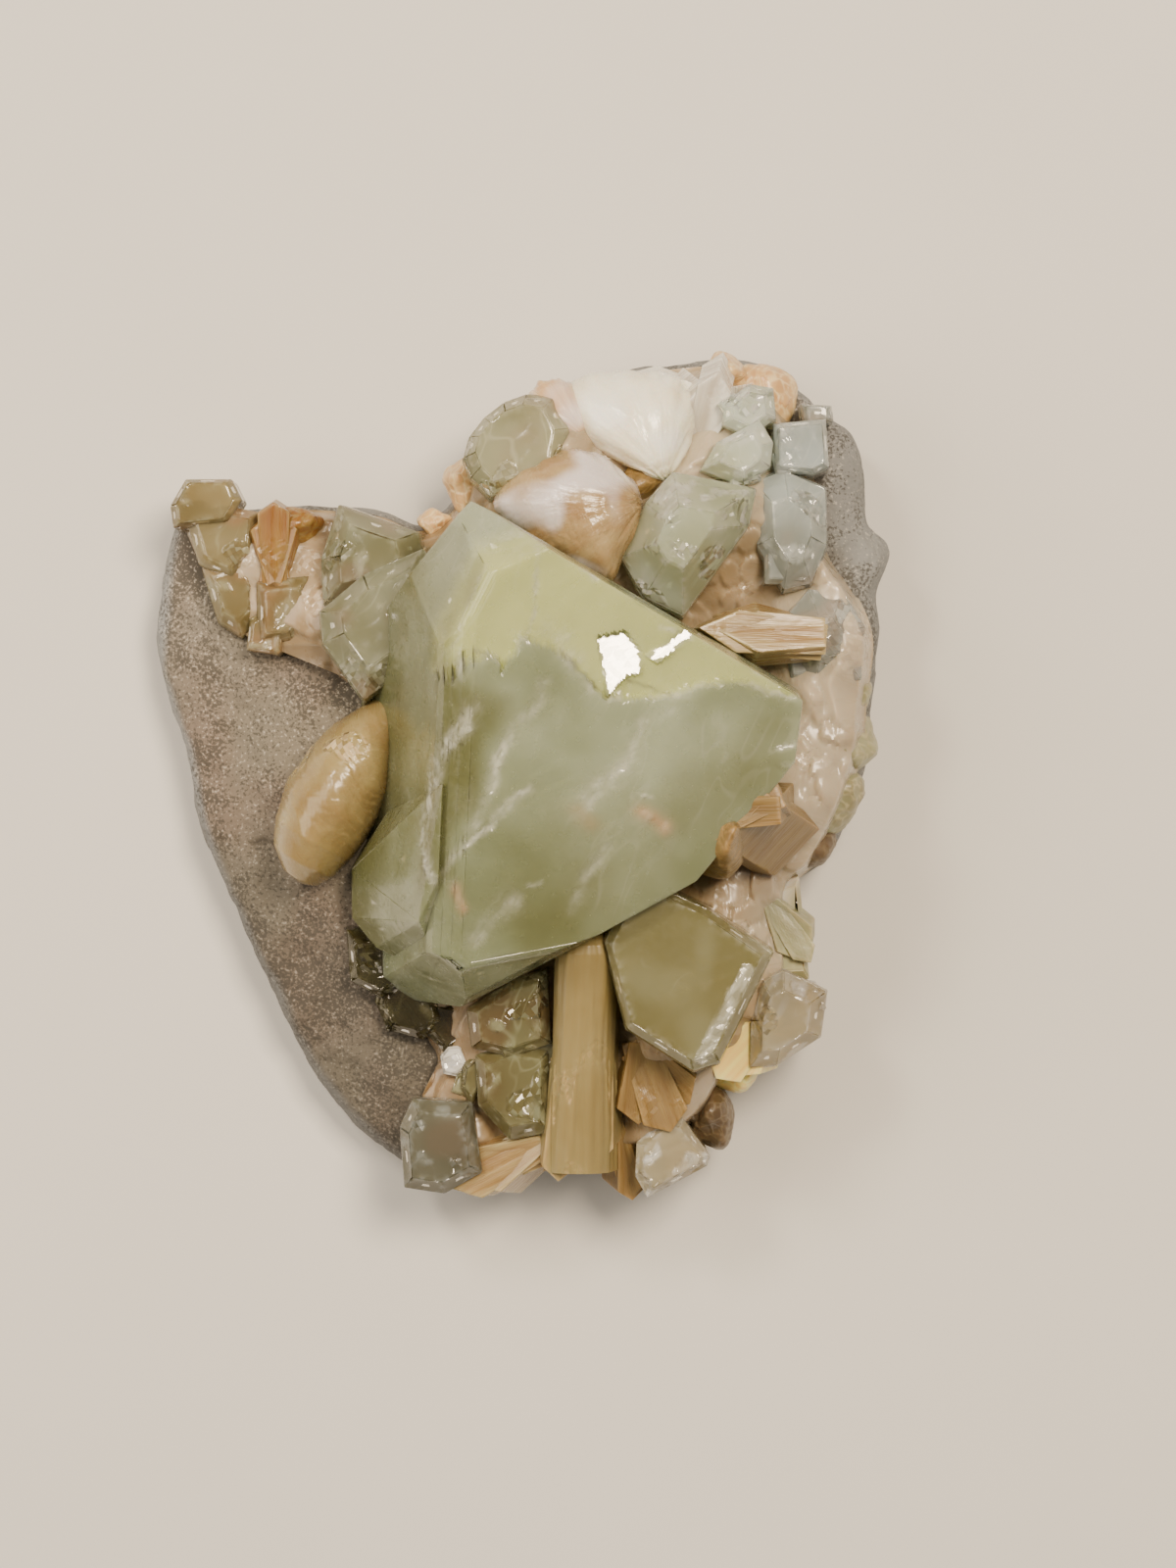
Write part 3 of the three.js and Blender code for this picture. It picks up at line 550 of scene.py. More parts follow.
@dataclass
class Block:
    """Blocky crystal: an outline in plan repeated at several heights, each (height, scale)."""

    outline: list[Plan]
    levels: list[Plan]
    slope: Plan = (0.0, 0.0)
    twins: int = 1
    glint: float = 0.6
    frost_and_highlight: list[Plan] = field(default_factory=list)

    def corners(self) -> Array:
        """Corners of the outline at each height, scaled about its middle and tilted by the slope.

        Returns:
            The corners, many by 3.
        """
        plan = np.array(self.outline, float)
        middle = plan.mean(0)
        layers = []
        for height, scale in self.levels:
            shift = (plan - middle) * scale
            layers.append(np.column_stack([middle + shift, height + shift @ np.array(self.slope)]))
        return np.concatenate(layers)

    def twin(self, number: int, seed: float) -> Array:
        """Corners of a smaller crystal grown into this one, nearly parallel to it.

        A four-sided prism whose sides follow the outline's longest side within a few degrees,
        placed between the middle and a corner, with its top at the height of the crystal's shoulder.

        Args:
            number: which of the twins.
            seed: which set of random values.

        Returns:
            The twin's corners.
        """
        draw = np.random.default_rng(int(seed * 101) + number)
        plan = np.array(self.outline, float)
        middle = plan.mean(0)
        sides = np.roll(plan, -1, axis=0) - plan
        longest = sides[np.argmax(np.linalg.norm(sides, axis=1))]
        reach = np.linalg.norm(plan - middle, axis=1).mean()
        at = middle + (plan[draw.integers(len(plan))] - middle) * draw.uniform(0.45, 0.7)
        half = reach * draw.uniform(0.3, 0.5)
        turn = math.atan2(longest[1], longest[0]) + draw.uniform(-0.25, 0.25)
        spin = np.array([[math.cos(turn), math.sin(turn)], [-math.sin(turn), math.cos(turn)]])
        ring = np.array([(1, 0.7), (0.75, 1), (-0.9, 1), (-1, -0.8), (-0.8, -1), (1, -0.9)])
        flat = (ring * np.array([half, half * draw.uniform(0.6, 1.0)])) @ spin
        slope = np.array(self.slope) + draw.uniform(-0.12, 0.12, 2)
        top = self.levels[1][0] + (at - middle) @ np.array(self.slope) + reach * draw.uniform(0.02, 0.14)
        layers = [np.column_stack([at + flat * k, z + flat @ slope * k])
                  for z, k in ((top, 0.8), (top - 0.3 * half, 1.0), (SEAT, 1.1))]
        return np.concatenate(layers)

    def skins(self, relief: Relief) -> list[Skin]:
        """The crystal's surface and those of its twins, each with its own tone and broken patches.

        Args:
            relief: the wear.

        Returns:
            The surfaces, the crystal first.
        """
        made = [faceted(self.corners(), relief)]
        for number in range(self.twins):
            wear = replace(relief, seed=relief.seed + 3.0 * number, groove=0.0)
            made.append(faceted(self.twin(number, relief.seed), wear))
        top = self.levels[0][0]
        for number, skin in enumerate(made):
            p = skin.points
            skin.mark[:, 3] = 0.3 * chance(int(relief.seed * 10), number + 3)
            skin.mark[:, 3] += 0.4 * (1 - ease(p[:, 2], ROCK_TOP - 2.0, top - 2.0))
            skin.mark[:, 2] = 0.75 * ease(noise(p, 6.0, relief.seed + 9.0, 2), -0.05, 0.4)
            # patches of tiny tilted facets whose white flecks are painted glints
            skin.mark[:, 0] = self.glint * ease(noise(p, 2.6, relief.seed + 8.0, 2), 0.22, 0.42)
            # pale frosted band along the bevel, painted brighter as its highlight too
            if self.frost_and_highlight:
                gap, _ = along_line(p + 0.5 * noise(p, 1.2, 25.0, 2)[:, None], self.frost_and_highlight)
                skin.mark[:, 0] = np.maximum(skin.mark[:, 0], ease(gap, 1.0, 0.6) * (p[:, 2] > top - 3.0))
            skin.grain[:, :2] = 0.0
        return made


@dataclass
class Blade:
    """Thin crystal along its own X with a roof-shaped end."""

    at: Point
    azimuth: float
    pitch: float
    roll: float
    length: float
    width: float
    thick: float
    point: float = 3.0

    def skins(self, relief: Relief) -> list[Skin]:
        """The blade's surface: the hull of its outline on both faces, placed in its frame.

        Args:
            relief: the wear.

        Returns:
            One surface.
        """
        half = self.width / 2
        outline = [(0, -half * 0.7), (self.length - self.point, -half), (self.length, 0),
                   (self.length - self.point, half), (0, half * 0.7)]
        corners = np.array([(x, y, z) for x, y in outline for z in (-self.thick / 2, self.thick / 2)])
        return [faceted(corners, relief).moved(frame_at(self.at, self.azimuth, self.pitch, self.roll))]


@dataclass
class Sheaf:
    """Blades that share a foot and open like a hand, each split in thinner leaves."""

    at: Point
    azimuth: float
    pitch: float
    count: int
    spread: float
    length: float
    width: float
    thick: float
    roll: float = 0.0
    point: float = 3.0
    lift: float = 0.0

    def skins(self, relief: Relief) -> list[Skin]:
        """Surfaces of all the blades.

        Args:
            relief: the wear.

        Returns:
            One surface per blade.
        """
        made: list[Skin] = []
        for i in range(self.count):
            t = i / (self.count - 1) - 0.5 if self.count > 1 else 0.0
            reach = self.length * (1 - 0.5 * t * t - 0.1 * chance(i, self.count))
            thick = self.thick * (0.8 + 0.4 * chance(self.count, i))
            foot = (self.at[0], self.at[1], self.at[2] + self.lift * t)
            blade = Blade(foot, self.azimuth + self.spread * t, self.pitch - 8 * abs(t),
                          self.roll + 30 * t, reach, self.width, thick, self.point)
            made += blade.skins(replace(relief, seed=relief.seed + i))
        return made


@dataclass
class Lump:
    """Rounded lump of intergrown crystals: a blunt many-sided ball drawn out to three radii."""

    at: Point
    radii: Point
    azimuth: float = 0.0
    knobs: float = 0.12
    sides: int = 26

    def skins(self, relief: Relief) -> list[Skin]:
        """The lump's surface: the nearest of several planes round a ball, with waves and grit.

        The radius toward a direction is a soft minimum of distance / cosine over the planes.

        Args:
            relief: the wear.

        Returns:
            One surface.
        """
        rows, columns = 64, 96
        polar = np.linspace(0.02, math.pi - 0.02, rows)[:, None]
        turn = (2 * math.pi * np.arange(columns) / columns)[None, :]
        ball = np.stack([np.sin(polar) * np.cos(turn), np.sin(polar) * np.sin(turn),
                         np.cos(polar) * np.ones_like(turn)], axis=-1)
        draw = np.random.default_rng(int(relief.seed * 7) + 3)
        normals = draw.normal(size=(self.sides, 3))
        normals /= np.linalg.norm(normals, axis=1, keepdims=True)
        reach = draw.uniform(0.82, 1.05, self.sides) / np.maximum(ball @ normals.T, 0.05)
        planes = -np.log(np.exp(-9.0 * np.minimum(reach, 3.0)).sum(-1)) / 9.0
        wave = (np.sin(3.1 * ball[..., 0] + self.at[0]) + np.sin(3.7 * ball[..., 1] + self.at[1])
                + np.sin(3.3 * ball[..., 2] + self.at[2]))
        swell = np.minimum(planes, 1.12) * (1 + self.knobs * wave / 2)
        spots = ball * np.array(self.radii) * swell[..., None]
        fine = noise(spots + 50.0, 0.9, relief.seed, 3)
        near, far, value = cells(spots + np.array(self.at), 1.5, relief.seed)
        raised = 0.12 * fine + 0.22 * (value - 0.5) * ease(far - near, 0.0, 0.15)
        spots = spots + ball * raised[..., None]
        # third value: cell edges that the finish paints as a highlight
        grain = np.stack([spots[..., 0] + spots[..., 2], spots[..., 1], ease(0.2 - (far - near), 0.0, 0.2)],
                         axis=-1)
        mark = np.zeros(spots.shape[:2] + (4,))
        mark[..., 3] = 0.8 * value * ease(noise(spots, 3.0, relief.seed + 2), -0.2, 0.4)
        return [tube(spots, grain, mark).moved(frame_at(self.at, self.azimuth))]


@dataclass
class Shield:
    """Stilbite fan seen on its face: a domed plate over an outline, with leaves from its foot."""

    outline: list[Plan]
    foot: Plan
    levels: list[Plan]
    slope: Plan = (0.0, 0.0)
    leaf: float = 0.16

    def skins(self, relief: Relief) -> list[Skin]:
        """The fan's surface.

        Rings run from the outline's middle over the dome and down the sides; the height follows the
        levels, lowered by leaves that fan out from the foot, by bands round it and by broken steps.

        Args:
            relief: the wear.

        Returns:
            One surface.
        """
        rows, around = 120, 240
        middle = np.array(self.outline, float).mean(0)
        edge = closed_curve(self.outline, around)
        heights, scales = (np.array(v, float) for v in zip(*self.levels))
        run = np.concatenate([[0.0], np.cumsum(np.hypot(np.diff(heights), 8 * np.diff(scales)))])
        start = 8 * scales[0]
        along = np.linspace(-start, run[-1], rows)
        smooth = np.ones(9) / 9
        scale = np.interp(along, np.concatenate([[-start], run]), np.concatenate([[0.01], scales]))
        level = np.interp(along, np.concatenate([[-start], run]),
                          np.concatenate([[heights[0] + 0.7], heights]))
        scale = np.convolve(np.pad(scale, 4, mode="edge"), smooth, mode="valid")[:, None]
        level = np.convolve(np.pad(level, 4, mode="edge"), smooth, mode="valid")[:, None]
        plan = middle + (edge - middle)[None] * scale[..., None]
        rel = plan - np.array(self.foot)
        far = np.linalg.norm(rel, axis=-1)
        turn = np.arctan2(rel[..., 1], rel[..., 0])
        spread = np.stack([6.0 * np.cos(turn), 6.0 * np.sin(turn), 0.10 * far], axis=-1)
        leaves = noise(spread, 0.55, relief.seed, 3)
        warp = noise(np.stack([plan[..., 0], plan[..., 1], 0 * far], axis=-1), 4.0, relief.seed + 2.0, 2)
        rings = far / 1.1 + 1.2 * warp + 0.5 * leaves
        saw = rings - np.floor(rings)
        patch = ease(warp, -0.1, 0.35)
        lying = ease(scale, 1.05, 0.5)
        height = level + (plan - middle) @ np.array(self.slope)
        height = height + self.leaf * leaves * (0.4 + 0.6 * lying) + 0.14 * (saw - 0.5) * patch
        height = height + 0.5 * noise(spread * 0.6, 1.5, relief.seed + 6.0) * ease(far, 3.0, 9.0)
        outward = (edge - middle) / np.linalg.norm(edge - middle, axis=1, keepdims=True)
        jagged = 0.55 * leaves * ease(scale, 0.7, 1.0)
        spots = np.concatenate([plan + outward[None] * jagged[..., None], height[..., None]], axis=-1)
        # third value: edges of the ring steps, which the finish paints as a highlight
        grain = np.stack([turn * 9.0, far, ease(saw, 0.9, 1.0) * patch], axis=-1)
        mark = np.zeros(spots.shape[:2] + (4,))
        mark[..., 2] = ease(noise(spots, 5.0, relief.seed + 7.0, 2), -0.1, 0.5)
        mark[..., 3] = 0.7 * ease(leaves, 0.1, 0.7) * ease(noise(spots, 6.0, relief.seed + 8.0), 0.0, 0.4)
        return [tube(spots, grain, mark)]


@dataclass
class Bow:
    """Half of a bow-tie stilbite: an almond with curved blade edges stepped across it."""

    at: Point = (-27.8, -13.3, 19.5)
    azimuth: float = 61.0
    pitch: float = 2.0
    length: float = 26.4
    half_width: float = 6.3
    half_depth: float = 11.5
    stations: list[Plan] = field(default_factory=lambda: [
        (0.0, 0.12), (0.02, 0.4), (0.1, 0.7), (0.22, 0.9), (0.4, 1.0), (0.58, 0.95), (0.74, 0.79),
        (0.88, 0.53), (0.97, 0.28), (1.0, 0.06)])

    def skins(self, relief: Relief) -> list[Skin]:
        """The bow's surface: an ellipse per station, stepped by blade edges that cross it aslant.

        Args:
            relief: the wear.

        Returns:
            One surface.
        """
        rows, columns = 150, 180
        t = np.linspace(0.0, 1.0, rows)[:, None]
        angle = (2 * math.pi * np.arange(columns) / columns - math.pi / 2)[None, :]
        full = np.interp(t[:, 0], *zip(*self.stations))[:, None]
        x = t * self.length
        phase = 0.42 * x - 2.1 * np.cos(angle) + 0.8
        blades = 1 - 0.03 * np.abs(np.sin(phase))
        place = np.stack([x + 0 * angle, 6 * full * np.cos(angle), 9 * full * np.sin(angle)], axis=-1)
        warp = noise(place, 4.0, relief.seed, 2)
        lines = 0.8 * x - 2.6 * np.cos(angle) * full + 1.7 * warp
        saw = lines - np.floor(lines)
        fine = 4.6 * x - 14.0 * np.cos(angle) * full + 3.0 * warp
        teeth = fine - np.floor(fine)
        patch = ease(noise(place, 5.0, relief.seed + 3), -0.2, 0.5)
        step = 0.016 * saw * patch + 0.003 * teeth + 0.014 * noise(place, 1.6, relief.seed + 5, 3)
        wide = self.half_width * full * (blades + step)
        deep = self.half_depth * full ** 0.8 * (blades + step)
        spots = np.stack([x - 0.3 * (1 - t) + 0 * angle, 1.7 * full + wide * np.cos(angle),
                          deep * np.sin(angle)],
                         axis=-1)
        across = 0.9 * x - 3.0 * np.cos(angle) * full + warp
        # third value: edges of the blade steps, which the finish paints as a highlight
        grain = np.stack([across, 6.0 * np.cos(angle) * full + 0.3 * x, 0.4 * ease(saw, 0.9, 1.0) * patch],
                         axis=-1)
        return [tube(spots, grain).moved(frame_at(self.at, self.azimuth, self.pitch))]


@dataclass
class Column:
    """Tall blade with a rounded head, fluted along its length and split lower down."""

    head: Point = (8.4, -19.4, 31.4)
    length: float = 31.0
    half_width: float = 4.15
    half_depth: float = 5.2
    stations: list[Plan] = field(default_factory=lambda: [
        (0.0, 0.16), (0.006, 0.38), (0.015, 0.56), (0.03, 0.72), (0.055, 0.87), (0.09, 0.97), (0.13, 1.0),
        (0.5, 1.0), (0.76, 1.08), (1.0, 1.14)])

    def skins(self, relief: Relief) -> list[Skin]:
        """The column's surface: a fluted ellipse carried down, with leaves ending at uneven heights.

        Args:
            relief: the wear.

        Returns:
            One surface.
        """
        rows, columns = 160, 170
        t = (np.linspace(0.0, 1.0, rows) ** 1.25)[:, None]
        angle = (2 * math.pi * np.arange(columns) / columns - math.pi / 2)[None, :]
        full = np.interp(t[:, 0], *zip(*self.stations))[:, None]
        flute = 1 - 0.045 * np.abs(np.sin(2.5 * angle + 0.7 + 0.12 * np.sin(9 * t))) - 0.015
        place = np.stack([4 * np.cos(angle) + 0 * t, 5 * np.sin(angle) + 0 * t, 2.0 * t + 0 * angle], axis=-1)
        leaves = noise(place, 0.75, relief.seed, 3)
        side = noise(place * np.array([1.0, 1.0, 0.0]), 1.1, relief.seed + 2)
        ending = t - 0.5 - 0.42 * side
        broken = ease(ending, -0.012, 0.012) * ease(side, -0.1, 0.25)
        rough = 1 + 0.026 * leaves + 0.06 * broken * (1 - ease(ending, 0.1, 0.5)) * ease(t, 0.15, 0.4)
        wide = self.half_width * flute * full * rough
        deep = self.half_depth * flute * full * rough
        x0, y0, z0 = self.head
        spots = np.stack([x0 - 0.9 * t + wide * np.cos(angle), y0 - self.length * t + 0 * angle,
                          z0 - 13 * t + deep * np.sin(angle)], axis=-1)
        # third value: the broken leaf endings, which the finish paints as a highlight
        grain = np.stack([angle * self.half_width + 0 * t, self.length * t + 0 * angle,
                          np.exp(-np.abs(ending) / 0.01) * ease(side, 0.0, 0.3)], axis=-1)
        return [tube(spots, grain)]


# ---- node groups ---------------------------------------------------------------


class Wiring:
    """Adds nodes to a tree and joins them, with the values given by socket name."""

    def __init__(self, tree: bpy.types.NodeTree) -> None:
        """Keeps the tree."""
        self.tree = tree

    def add(self, kind: str, values: dict | None = None, **settings: object) -> bpy.types.Node:
        """New node.

        Args:
            kind: Blender's type name without "ShaderNode".
            values: socket name or number to a value or to another node's output.
            settings: properties of the node.

        Returns:
            The node.
        """
        name = kind if kind.startswith("NodeGroup") else "ShaderNode" + kind
        node = self.tree.nodes.new(name)
        for key, value in settings.items():
            setattr(node, key, value)
        self.feed(node, values or {})
        return node

    def feed(self, node: bpy.types.Node, values: dict) -> None:
        """Sets a node's inputs, or links them to another node's outputs.

        Args:
            node: the node.
            values: socket name or number to a value or to an output.
        """
        for key, value in values.items():
            if isinstance(value, bpy.types.NodeSocket):
                self.tree.links.new(value, node.inputs[key])
            else:
                node.inputs[key].default_value = value

    def marks(self) -> tuple[bpy.types.bpy_prop_collection, bpy.types.NodeSocket]:
        """The first three values of the mark attribute, and its fourth."""
        mark = self.add("Attribute", attribute_name="mark").outputs
        return self.add("SeparateColor", {0: mark["Color"]}).outputs, mark["Alpha"]

    def grain(self) -> bpy.types.bpy_prop_collection:
        """The three values of the grain attribute."""
        kept = self.add("Attribute", attribute_name="grain").outputs["Vector"]
        return self.add("SeparateXYZ", {0: kept}).outputs

    def here(self) -> bpy.types.NodeSocket:
        """Place in the object's own coordinates."""
        return self.add("TexCoord").outputs["Object"]

    def math(self, how: str, a: object, b: object = 0.0) -> bpy.types.NodeSocket:
        """Result of one sum on two values."""
        return self.add("Math", {0: a, 1: b}, operation=how).outputs[0]

    def span(self, value: object, low: float, high: float, to: Plan = (0.0, 1.0)) -> bpy.types.NodeSocket:
        """Value carried from one range onto another, smoothly and clamped.

        Args:
            value: what is carried.
            low: start of its range.
            high: end of its range.
            to: start and end of the other range.

        Returns:
            The carried value.
        """
        node = self.add("MapRange", {"Value": value, "From Min": low, "From Max": high,
                                     "To Min": to[0], "To Max": to[1]}, interpolation_type="SMOOTHSTEP")
        return node.outputs["Result"]

    def blend(self, share: object, a: object, b: object) -> bpy.types.NodeSocket:
        """Colour a turned into colour b by a share."""
        return self.add("Mix", {0: share, 6: a, 7: b}, data_type="RGBA").outputs[2]

    def noise(self, place: object, scale: float, detail: float = 4.0, rough: float = 0.55,
              bend: float = 0.0) -> bpy.types.NodeSocket:
        """Noise value over a place.

        Args:
            place: where it is read.
            scale: cells per metre.
            detail: how many finer layers are added.
            rough: how strong each finer layer is.
            bend: how far the noise warps itself.

        Returns:
            The value.
        """
        node = self.add("TexNoise", {"Vector": place, "Scale": scale, "Detail": detail,
                                     "Roughness": rough, "Distortion": bend})
        return node.outputs["Fac"]

    def bump(self, height: object, strength: float, distance: float,
             under: object | None = None) -> bpy.types.NodeSocket:
        """Normal bent by a height.

        Args:
            height: the height.
            strength: share of the bump that shows.
            distance: height in metres of one unit.
            under: normal that it bends, or the surface's own.

        Returns:
            The bent normal.
        """
        values = {"Height": height, "Strength": strength, "Distance": distance}
        if under is not None:
            values["Normal"] = under
        return self.add("Bump", values).outputs["Normal"]


def colour(code: str) -> tuple[float, float, float, float]:
    """Linear colour of a screen colour: each part below 0.04045 is divided by 12.92, others are raised.

    Args:
        code: six hexadecimal digits.

    Returns:
        Red, green, blue and 1.
    """
    parts = [int(code[k:k + 2], 16) / 255 for k in (0, 2, 4)]
    linear = [v / 12.92 if v <= 0.04045 else ((v + 0.055) / 1.055) ** 2.4 for v in parts]
    return (*linear, 1.0)


def new_object(name: str, data: bpy.types.ID) -> bpy.types.Object:
    """New object in the scene.

    Args:
        name: the object's name.
        data: the mesh, light or camera that it holds.

    Returns:
        The object.
    """
    made = bpy.data.objects.new(name, data)
    bpy.context.scene.collection.objects.link(made)
    return made


def new_material(name: str) -> tuple[bpy.types.Material, Wiring, bpy.types.Node]:
    """New material, the wiring of its tree and its shader.

    Args:
        name: the material's name.

    Returns:
        The material, its wiring and its Principled shader.
    """
    made = bpy.data.materials.new(name)
    made.use_nodes = True
    return made, Wiring(made.node_tree), made.node_tree.nodes["Principled BSDF"]


def new_group(name: str, inputs: dict[str, float],
              outputs: dict[str, str]) -> tuple[Wiring, bpy.types.bpy_prop_collection, bpy.types.Node]:
    """Node group with its sockets and nothing between them.

    Args:
        name: the group's name.
        inputs: name of each number that goes in, and its first value.
        outputs: socket name to kind.

    Returns:
        The wiring of its tree, the sockets that bring its inputs and the node that takes its outputs.
    """
    tree = bpy.data.node_groups.new(name, "ShaderNodeTree")
    for key, value in inputs.items():
        socket = tree.interface.new_socket(key, in_out="INPUT", socket_type="NodeSocketFloat")
        socket.default_value = value
    for key, kind in outputs.items():
        tree.interface.new_socket(key, in_out="OUTPUT", socket_type="NodeSocket" + kind)
    given = tree.nodes.new("NodeGroupInput")
    return Wiring(tree), given.outputs, tree.nodes.new("NodeGroupOutput")


class Effects:
    """Shared effects, each a node group made once."""

    @staticmethod
    def place(name: str) -> bpy.types.NodeTree:
        """The group of that name, made on first use.

        Args:
            name: striation, cloud or sparkle.

        Returns:
            The group's tree.
        """
        if name not in bpy.data.node_groups:
            getattr(Effects, "make_" + name)()
        return bpy.data.node_groups[name]

    @staticmethod
    def make_striation() -> None:
        """Fine lines along a blade: noise squeezed across and drawn out along its grain."""
        w, given, out = new_group("striation", {"Across": 2.2, "Along": 0.12, "Depth": 0.4},
                                  {"Lines": "Float", "Streaks": "Float", "Normal": "Vector"})
        parts = w.grain()
        across = w.math("MULTIPLY", parts["X"], given["Across"])
        along = w.math("MULTIPLY", parts["Y"], given["Along"])
        line = w.add("CombineXYZ", {0: across, 1: along}).outputs[0]
        lines = w.noise(line, 1.0, 2.0, 0.7)
        wide = w.add("VectorMath", {0: line, "Scale": 0.28}, operation="SCALE").outputs[0]
        w.feed(out, {"Lines": lines, "Streaks": w.noise(wide, 1.0, 1.0),
                     "Normal": w.bump(lines, given["Depth"], 0.0004)})

    @staticmethod
    def make_cloud() -> None:
        """Milky clouds, thin veils and drawn-out streaks in a clear crystal, from noise over the object."""
        w, given, out = new_group("cloud", {"Size": 70.0},
                                  dict.fromkeys(("Milk", "Veil", "Fine", "Ice", "Streak"), "Float"))
        here = w.here()
        soft = w.noise(here, given["Size"], 2.0, 0.62)
        drawn = w.add("Mapping", {"Vector": here, "Rotation": (0.3, 0.2, -0.5), "Scale": (1.0, 3.0, 1.6)},
                      vector_type="TEXTURE").outputs[0]
        wisp = w.noise(drawn, 230.0, 1.0, 0.62, 0.8)
        ridge = w.span(w.math("ABSOLUTE", w.math("SUBTRACT", wisp, 0.5)), 0.0, 0.035, (1.0, 0.0))
        w.feed(out, {"Milk": w.span(soft, 0.36, 0.66),
                     "Veil": w.math("MULTIPLY", ridge, w.span(soft, 0.46, 0.62)),
                     "Fine": w.noise(here, 900.0, 1.0, 0.6),
                     "Ice": w.noise(drawn, 150.0, 1.0, 0.5),
                     "Streak": w.noise(drawn, 1000.0, 1.0, 0.6)})

    @staticmethod
    def make_sparkle() -> None:
        """Broken patches of tiny tilted facets: each small cell of space has a slope of its own."""
        w, given, out = new_group("sparkle", {"Cell": 0.0008, "Rare": 0.62, "Amount": 0.0},
                                  dict.fromkeys(("Height", "Mask", "Glint"), "Float"))
        here = w.here()
        patch = w.add("TexNoise", {"Vector": here, "Scale": 130.0, "Detail": 1.0}).outputs
        bend = w.add("VectorMath", {0: patch["Color"], "Scale": 0.006}, operation="SCALE").outputs[0]
        warped = w.add("VectorMath", {0: here, 1: bend}, operation="ADD").outputs[0]
        turned = w.add("Mapping", {"Vector": warped, "Rotation": (0.5, 0.4, -0.5)}).outputs[0]
        size = w.add("CombineXYZ", {axis: given["Cell"] for axis in range(3)}).outputs[0]
        cell = w.add("VectorMath", {0: turned, 1: size}, operation="SNAP").outputs[0]
        dice = w.add("TexWhiteNoise", {"Vector": cell}, noise_dimensions="3D").outputs
        away = w.add("VectorMath", {0: turned, 1: cell}, operation="SUBTRACT").outputs[0]
        lean = w.add("VectorMath", {0: dice["Color"], 1: (0.5, 0.5, 0.5)}, operation="SUBTRACT").outputs[0]
        tilt = w.add("VectorMath", {0: away, 1: lean}, operation="DOT_PRODUCT").outputs["Value"]
        rare = w.span(w.math("SUBTRACT", patch["Fac"], given["Rare"]), 0.0, 0.06)
        slant = w.math("MAXIMUM", rare, w.math("MULTIPLY", given["Amount"], 0.4))
        shown = w.math("MAXIMUM", rare, given["Amount"])
        # Glint is a painted glint: the share of tilted cells that the finishes paint toward white
        w.feed(out, {"Height": w.math("MULTIPLY", tilt, slant),
                     "Mask": rare,
                     "Glint": w.math("MULTIPLY", shown, w.span(dice["Value"], 0.62, 0.8))})


# ---- finishes --------------------------------------------------------------------


@dataclass(frozen=True)
class ClearFinish:
    """Apophyllite: see-through by transmission, with milky clouds, veils, glints and bright edges."""

    name: str
    slot: str
    clear: str
    milky: str
    zone: str
    deep: str
    edge: str
    transmission: float = 0.45
    roughness: float = 0.16
    absorb: str = "e6e8d2"
    density: float = 8.0
    cloud_size: float = 60.0
    bump: float = 0.25
    soft: float = 0.25
    depth: float = 0.003
    facets: float = 0.0008
    rim: float = 0.4
    veil: float = 0.35
    rare: float = 0.58
    stain: str = "d8a678"
    ink: str = "4a4426"

    def material(self) -> bpy.types.Material:
        """Material with the crystal's colours mixed by clouds, zone, tone, veils and edges.

        Returns:
            The material.
        """
        made, w, shader = new_material(self.name)
        cloud = w.add("Group", {"Size": self.cloud_size}, node_tree=Effects.place("cloud")).outputs
        marks, tone = w.marks()
        sparkle = w.add("Group", {"Cell": self.facets, "Rare": self.rare, "Amount": marks[0]},
                        node_tree=Effects.place("sparkle")).outputs
        paint = w.grain()
        base = w.blend(cloud["Milk"], colour(self.clear), colour(self.milky))
        base = w.blend(marks[2], base, colour(self.zone))
        base = w.blend(w.math("MULTIPLY", tone, 0.9), base, colour(self.deep))
        base = w.blend(w.math("MULTIPLY", cloud["Veil"], self.veil), base, colour(self.edge))
        base = w.blend(paint["Y"], base, colour(self.stain))
        silver = w.math("MULTIPLY", marks[0], w.span(cloud["Streak"], 0.38, 0.6, (0.5, 1.0)))
        # worn edges with a painted highlight, and painted glints from the sparkle, turn the colour toward the
        # edge colour
        worn = w.math("MULTIPLY", paint["Z"], w.span(cloud["Fine"], 0.4, 0.65, (0.0, self.rim)))
        bright = w.math("MAXIMUM", w.math("MAXIMUM", silver, worn), w.math("MULTIPLY", sparkle["Glint"], 0.6))
        base = w.blend(bright, base, colour(self.edge))
        base = w.blend(paint["X"], base, colour(self.ink))
        rough = w.span(cloud["Fine"], 0.3, 0.7, (self.roughness * 0.7, self.roughness * 1.4))
        polish = w.math("MAXIMUM", marks[1], sparkle["Mask"])
        rough = w.math("MULTIPLY", rough, w.math("SUBTRACT", 1.0, w.math("MULTIPLY", polish, 0.7)))
        height = w.math("ADD", w.math("MULTIPLY", cloud["Ice"], 0.8), w.math("MULTIPLY", silver, 0.3))
        skin = w.bump(height, self.bump, 0.0008)
        w.feed(shader, {
            "Base Color": base, "Roughness": rough, "Normal": w.bump(sparkle["Height"], 1.0, 1.6, skin),
            "Coat Weight": marks[1], "Coat IOR": 2.2, "Coat Roughness": 0.08,
            "IOR": APOPHYLLITE_IOR, "Specular IOR Level": 0.6, "Transmission Weight": self.transmission,
            "Subsurface Weight": self.soft, "Subsurface Radius": (1.0, 0.95, 0.7),
            "Subsurface Scale": self.depth})
        absorb = w.add("VolumeAbsorption", {"Color": colour(self.absorb), "Density": self.density})
        w.feed(made.node_tree.nodes["Material Output"], {"Volume": absorb.outputs[0]})
        return made


